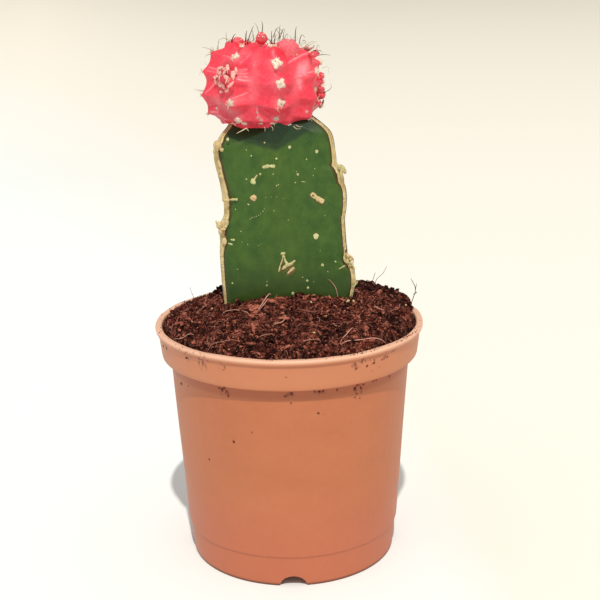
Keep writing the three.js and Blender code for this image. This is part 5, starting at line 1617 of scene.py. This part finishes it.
def coir_bed():
    """The body of the mix: a grid of turn by radius over the crumbled mound, with finer crumbs, pressed down to
    the stem's foot inside the stem, and closed by the sides along the wall"""
    turns = np.arange(380) / 380 * TURN
    radii = np.linspace(BED_EDGE, 0, 92)[:, None]
    x, y = radii * np.cos(turns), radii * np.sin(turns)
    crumbs = 0.45 * relief(x / 0.7 + 10, y / 0.7 + 10) + 0.5 * relief(x / 1.7, y / 1.7) - 0.45
    top = on_mix(x, y, smooth(BED_EDGE - radii, 0, 1.5) * crumbs)
    top[inside_stem(top, 1.0), 2] = STEM_FOOT - 0.3
    sides = around(turns, BED_SIDES[:, :1], BED_SIDES[:, 1:])
    lump = np.clip(0.3 * relief(x / 1.1 + 7, y / 1.1 + 7) - 0.02, 0, 1)
    lump = np.pad(lump, ((len(sides), 0), (0, 0)))
    return part(np.concatenate([sides, top]), net(*lump.shape), lump=lump)


def scattered(rng, count, reach):
    """Places on the mix, even over the disc, outside the stem"""
    turn = rng.uniform(0, TURN, count)
    radius = reach * np.sqrt(rng.random(count))
    places = on_mix(radius * np.cos(turn), radius * np.sin(turn))
    return places[~inside_stem(places, 0.2)]


def solid_lumps():
    """The lumps that the solid mix has, from the same draws, as finer uneven lumps, smaller behind on the left"""
    draw = Draws(11)
    rows = []
    for _ in range(76):
        turn, radius = draw() * TURN, 40 * np.sqrt(draw())
        size, width = mix(0.9, 2.1, draw() ** 2), mix(0.8, 1.2, draw())
        draw(), draw()
        rows.append((radius * np.cos(turn), radius * np.sin(turn), 1.2 * size, width * size, 0.75 * size))
    x, y, *sizes = np.array(rows).T
    places, sizes = on_mix(x, y), 0.85 * np.column_stack(sizes) * (0.85 - 0.4 * behind_left(x, y))[:, None]
    clear = ~inside_stem(places, 0.2)
    return places[clear], sizes[clear]


def patch_depth(spots):
    """How much darker the mix is at each place: a bell round the middle of each dark patch"""
    return sum(depth * bell(np.hypot(spots[:, 0] - x, spots[:, 1] - y), reach) for x, y, reach, depth in DARK_PATCHES)


def crumb_shades(rng, spots):
    """Shades of the crumbs: most nearly black, some fox red or pale, in drifts, with the darkest patches in place"""
    drift = 0.3 * uneven(spots * [1, 1, 0], 6.0, 3) - patch_depth(spots)
    return np.clip(0.02 + 1.54 * rng.random(len(spots)) ** 2.15 + drift, 0, 1)


def upright(rng, count, tilt):
    """Rotations that turn anyhow about the vertical and lean by up to about the tilt"""
    turn, lean, way = rng.uniform(0, TURN, count), rng.normal(0, tilt, count), rng.uniform(0, TURN, count)
    normal = around(way, np.sin(lean), np.cos(lean))
    return frames(square_to(around(turn), normal), normal)


def coir_crumbs(rng):
    """The solid's lumps, crumbs of three sizes all over, a row at the stem's foot, and the dark ones in place"""
    places, sizes = solid_lumps()
    parts = [lumps(rng, places, sizes, 2, 0.3, lump=0.2 * crumb_shades(rng, places))]
    for count, small, large, splits in ((360, 0.55, 1.15, 1), (4300, 0.3, 0.65, 0), (4300, 0.17, 0.38, 0)):
        spots = scattered(rng, count, 41.2)
        half = rng.uniform(small, large, len(spots))
        room, lower = BED_EDGE - np.hypot(*spots[:, :2].T), behind_left(*spots[:, :2].T)
        half = np.minimum(half, np.maximum(room * 0.6, 0.2)) * (1 - 0.3 * lower)
        sizes = half[:, None] * rng.uniform([0.9, 0.45, 0.35], [1.8, 0.9, 0.8], (len(spots), 3))
        spots[:, 2] += half * rng.uniform(-0.2, 1.0, len(spots)) - 0.3 * lower
        axes = upright(rng, len(spots), 0.8)
        parts.append(lumps(rng, spots, sizes, splits, 0.42, axes=axes, lump=crumb_shades(rng, spots)))
    x, y = rng.uniform(-3, 20, 70), rng.uniform(-12.6, -10.4, 70)
    foot = on_mix(x, y, rng.uniform(0.0, 1.3, 70) * smooth(x, -3, 6))
    sizes = rng.uniform(0.35, 0.8, (70, 1)) * [1.2, 0.7, 0.8]
    parts.append(lumps(rng, foot, sizes, 0, 0.4, lump=crumb_shades(rng, foot)))
    x, y, over, half, shade = DARK_CRUMBS.T
    parts.append(lumps(rng, on_mix(x, y, over), half[:, None] * [1.1, 0.8, 0.9], 1, 0.35, lump=shade))
    return parts


def pale_bits(rng):
    """Bits of pale pith and bark that lie on the mix"""
    x, y, size = PALE_BITS.T
    return lumps(rng, on_mix(x, y, 0.9 + 0.5 * size), size[:, None] * [1.1, 0.8, 0.7], 1, 0.25, tan=0.42)


coir_rng = np.random.default_rng(61)
piece("coir_bed", [coir_bed()], COIR, ["soil"], weld=0.0005)
piece("coir_crumbs", coir_crumbs(coir_rng), COIR, flat=True)
piece("pale_bits", [pale_bits(coir_rng)], CORK)


def drawn_in(x, y, reach):
    """Places moved straight in to the reach from the axis, if they lie outside it"""
    inside = np.minimum(1, reach / np.hypot(x, y))
    return x * inside, y * inside


def lying_threads(rng, count, shortest, longest, thickness, steps, wander, arch, darkest, palest):
    """Threads that lie on the mix: each heads off level, turns slowly, and follows the height under it, a little
    above in the middle and sunk at both ends"""
    starts = scattered(rng, count, 40.0)
    count = len(starts)
    t = np.linspace(-1, 1, steps)[None]
    length = rng.uniform(shortest, longest, (count, 1))
    heading = rng.uniform(0, TURN, (count, 1)) + rng.normal(0, wander, (count, 1)) * t
    heading = heading + rng.normal(0, wander * 0.5, (count, 1)) * np.sin(t / 2 * TURN)
    x = starts[:, :1] + np.cumsum(length / steps * np.cos(heading), axis=1)
    y = starts[:, 1:2] + np.cumsum(length / steps * np.sin(heading), axis=1)
    lift = arch * rng.uniform(0.4, 1, (count, 1)) * (1 - t**2) + 0.42 - 0.9 * np.abs(t) ** 6
    paths = on_mix(*drawn_in(x, y, 41.6), lift)
    paths = paths[~inside_stem(paths, -0.15).any(axis=1)]
    radii = rng.uniform(0.7, 1.2, (len(paths), 1)) * thickness / 2 * (1 - 0.45 * t**2)
    shade = mix(darkest, palest, rng.random(len(paths)) ** 1.3) - patch_depth(paths[:, steps // 2])
    return tubes(paths, radii, 3, lump=np.clip(shade, 0, 1))


def solid_threads():
    """The lying threads that the solid mix has, from the same draws, as thin curves"""
    draw = Draws(5)
    i, paths = np.linspace(0, 5, 16), []
    for number in range(12):
        turn, radius = (number + draw()) / 12 * TURN, mix(25, 35, draw())
        heading = turn + np.pi / 2 + (draw() - 0.5) * 1.6
        way = heading + (draw() - 0.5) * 0.35 * (i - 2.5)
        along = (i / 5 - 0.5) * mix(9, 16.5, draw())
        x, y = radius * np.cos(turn) + along * np.cos(way), radius * np.sin(turn) + along * np.sin(way)
        paths.append(on_mix(*drawn_in(x, y, 39.5), 0.5 - (np.abs(i - 2.5) / 2.5) ** 6))
    return tubes(np.array(paths), np.full((12, 16), 0.1), 5, lump=0.6)


def standing_thread():
    """The solid's standing thread behind on the left: a straight run between its ends, bent aside by a parabola"""
    t = np.linspace(0, 1, 16)[:, None]
    path = mix(STANDING_LOW, STANDING_HIGH, t) + 4 * t * (1 - t) * STANDING_BEND
    return tubes(path[None], np.linspace(0.1, 0.05, 16)[None], 5, lump=0.2)


def threads_through(rows):
    """Threads as smooth curves through their places. Where these have no height, a thread lies on the mix, sunk at
    both ends, with its far end raised."""
    t = np.linspace(0, 1, 22)
    paths = []
    for places, _, _, *raised in rows:
        path = curve_through(places, t)
        if raised:
            lift = 1.0 - 1.2 * np.abs(2 * t - 1) ** 8 + raised[0] * smooth(t, 0.35, 1.0)
            path = np.column_stack([path, soil_height(*path.T) + lift])
        paths.append(path)
    thickness, shades = np.array([row[1:3] for row in rows]).T
    radii = thickness[:, None] / 2 * (1 - 0.4 * np.abs(2 * t - 1) ** 3)
    return tubes(np.array(paths), radii, 5, lump=shades)


thread_rng = np.random.default_rng(67)
piece("coir_threads", [
    *[lying_threads(thread_rng, *kind) for kind in LYING_THREADS],
    threads_through(SEEN_THREADS), threads_through(STANDING_HAIRS), solid_threads(), standing_thread(),
], COIR_THREAD)


# ---- Soil specks on the pot ----

# Degrees round, height and half size
WALL_SPECKS = table("""
    -152.7 64.8 0.4, -145 65.7 0.2, -123.3 68.6 0.4, -121.7 68.2 0.5, -119.3 67.6 0.55, -118.8 66.5 0.4,
    -120.6 68.9 0.5, -89.1 68.8 0.35, -92.1 67.9 0.3, -89.4 65.7 0.2, -78.7 69 0.4, -76.9 68.9 0.35, -75.1 68.8 0.4,
    -68.5 68.8 0.3, -59.4 67.9 0.45, -57.8 68.8 0.5, -56.1 67.7 0.4, -54.8 68.6 0.3, -58.2 66 0.35, -56.5 64.4 0.25,
    -59.2 65 0.3, -49 68.8 0.35, -47.2 68.9 0.3, -37.3 68.2 0.35, -77.2 61.7 0.4, -74.6 61.2 0.15, -107.7 55.2 0.22,
    -117.5 51 0.42, -133.8 42.1 0.35, -129 58.6 0.12, -99.3 29.3 0.14, 40 60 0.35, 75 52 0.3, 100 68.5 0.5,
    103 67.7 0.35, 140 48 0.3, 165 68.6 0.45, 20 68.6 0.4, 62 68.2 0.45, 65 67.2 0.35
""", 3)
COLLAR_SPECKS = table("""
    -91.1 75.4 0.22, -127.5 78.4 0.35, -127.9 76.3 0.2, -137.3 77.5 0.35, -117.6 76.4 0.2, -63.9 77.1 0.3,
    -61.9 76.1 0.35, -59.2 77.8 0.3, -56.6 76.1 0.35, -53 76.5 0.35, -48.6 76.9 0.3, -45.3 77.1 0.35, -53.8 73.9 0.15,
    -49.5 74.5 0.15, -159.8 76.8 0.4, 35 77 0.4, 118 77.2 0.4, 122 76 0.3, 205 77 0.3, 80 75 0.2
""", 3)


def wall_specks(rng, rows, radius_low, radius_high, low, high):
    """Crumbs stuck to a cone of the pot, pressed flat on it"""
    turn, height = np.radians(rows[:, 0]), rows[:, 1]
    places = around(turn, mix(radius_low, radius_high, (height - low) / (high - low)), height)
    sizes = rows[:, 2:] * rng.uniform([0.9, 0.8, 0.4], [1.5, 1.5, 0.65], (len(rows), 3))
    axes = frames(leftward(turn), around(turn))
    return lumps(rng, places, sizes, 1, 0.4, axes=axes, lump=rng.uniform(0.3, 0.85, len(rows)))


def rim_specks(rng):
    """Crumbs and dust lying on the rolled rim, most of them at the front right"""
    count = 110
    turn = np.radians(np.where(rng.random(count) < 0.55, rng.normal(-42, 16, count), rng.uniform(0, 360, count)))
    places = around(turn, rng.uniform(43.2, 44.6, count), POT_HEIGHT - 0.12)
    sizes = rng.uniform(0.1, 0.3, (count, 1)) * [1.0, 1.0, 0.6]
    return lumps(rng, places, sizes, 0, 0.3, lump=rng.uniform(0.2, 0.9, count))


speck_rng = np.random.default_rng(71)
piece("soil_specks", [
    wall_specks(speck_rng, WALL_SPECKS, 36.2, 40.2, 11, 70.4),
    wall_specks(speck_rng, COLLAR_SPECKS, 42.9, 43.9, 70.4, 79.3),
    rim_specks(speck_rng),
], COIR)


# ---- Floor ----

FLOOR_HALF = 60  # metres

floor_mesh = bpy.data.meshes.new("floor")
floor_corners = [(x * FLOOR_HALF, y * FLOOR_HALF, 0) for x, y in ((-1, -1), (1, -1), (1, 1), (-1, 1))]
floor_mesh.from_pydata(floor_corners, [], [(0, 1, 2, 3)])
floor_mesh.materials.append(FLOOR)
floor = bpy.data.objects.new("floor", floor_mesh)
bpy.context.scene.collection.objects.link(floor)
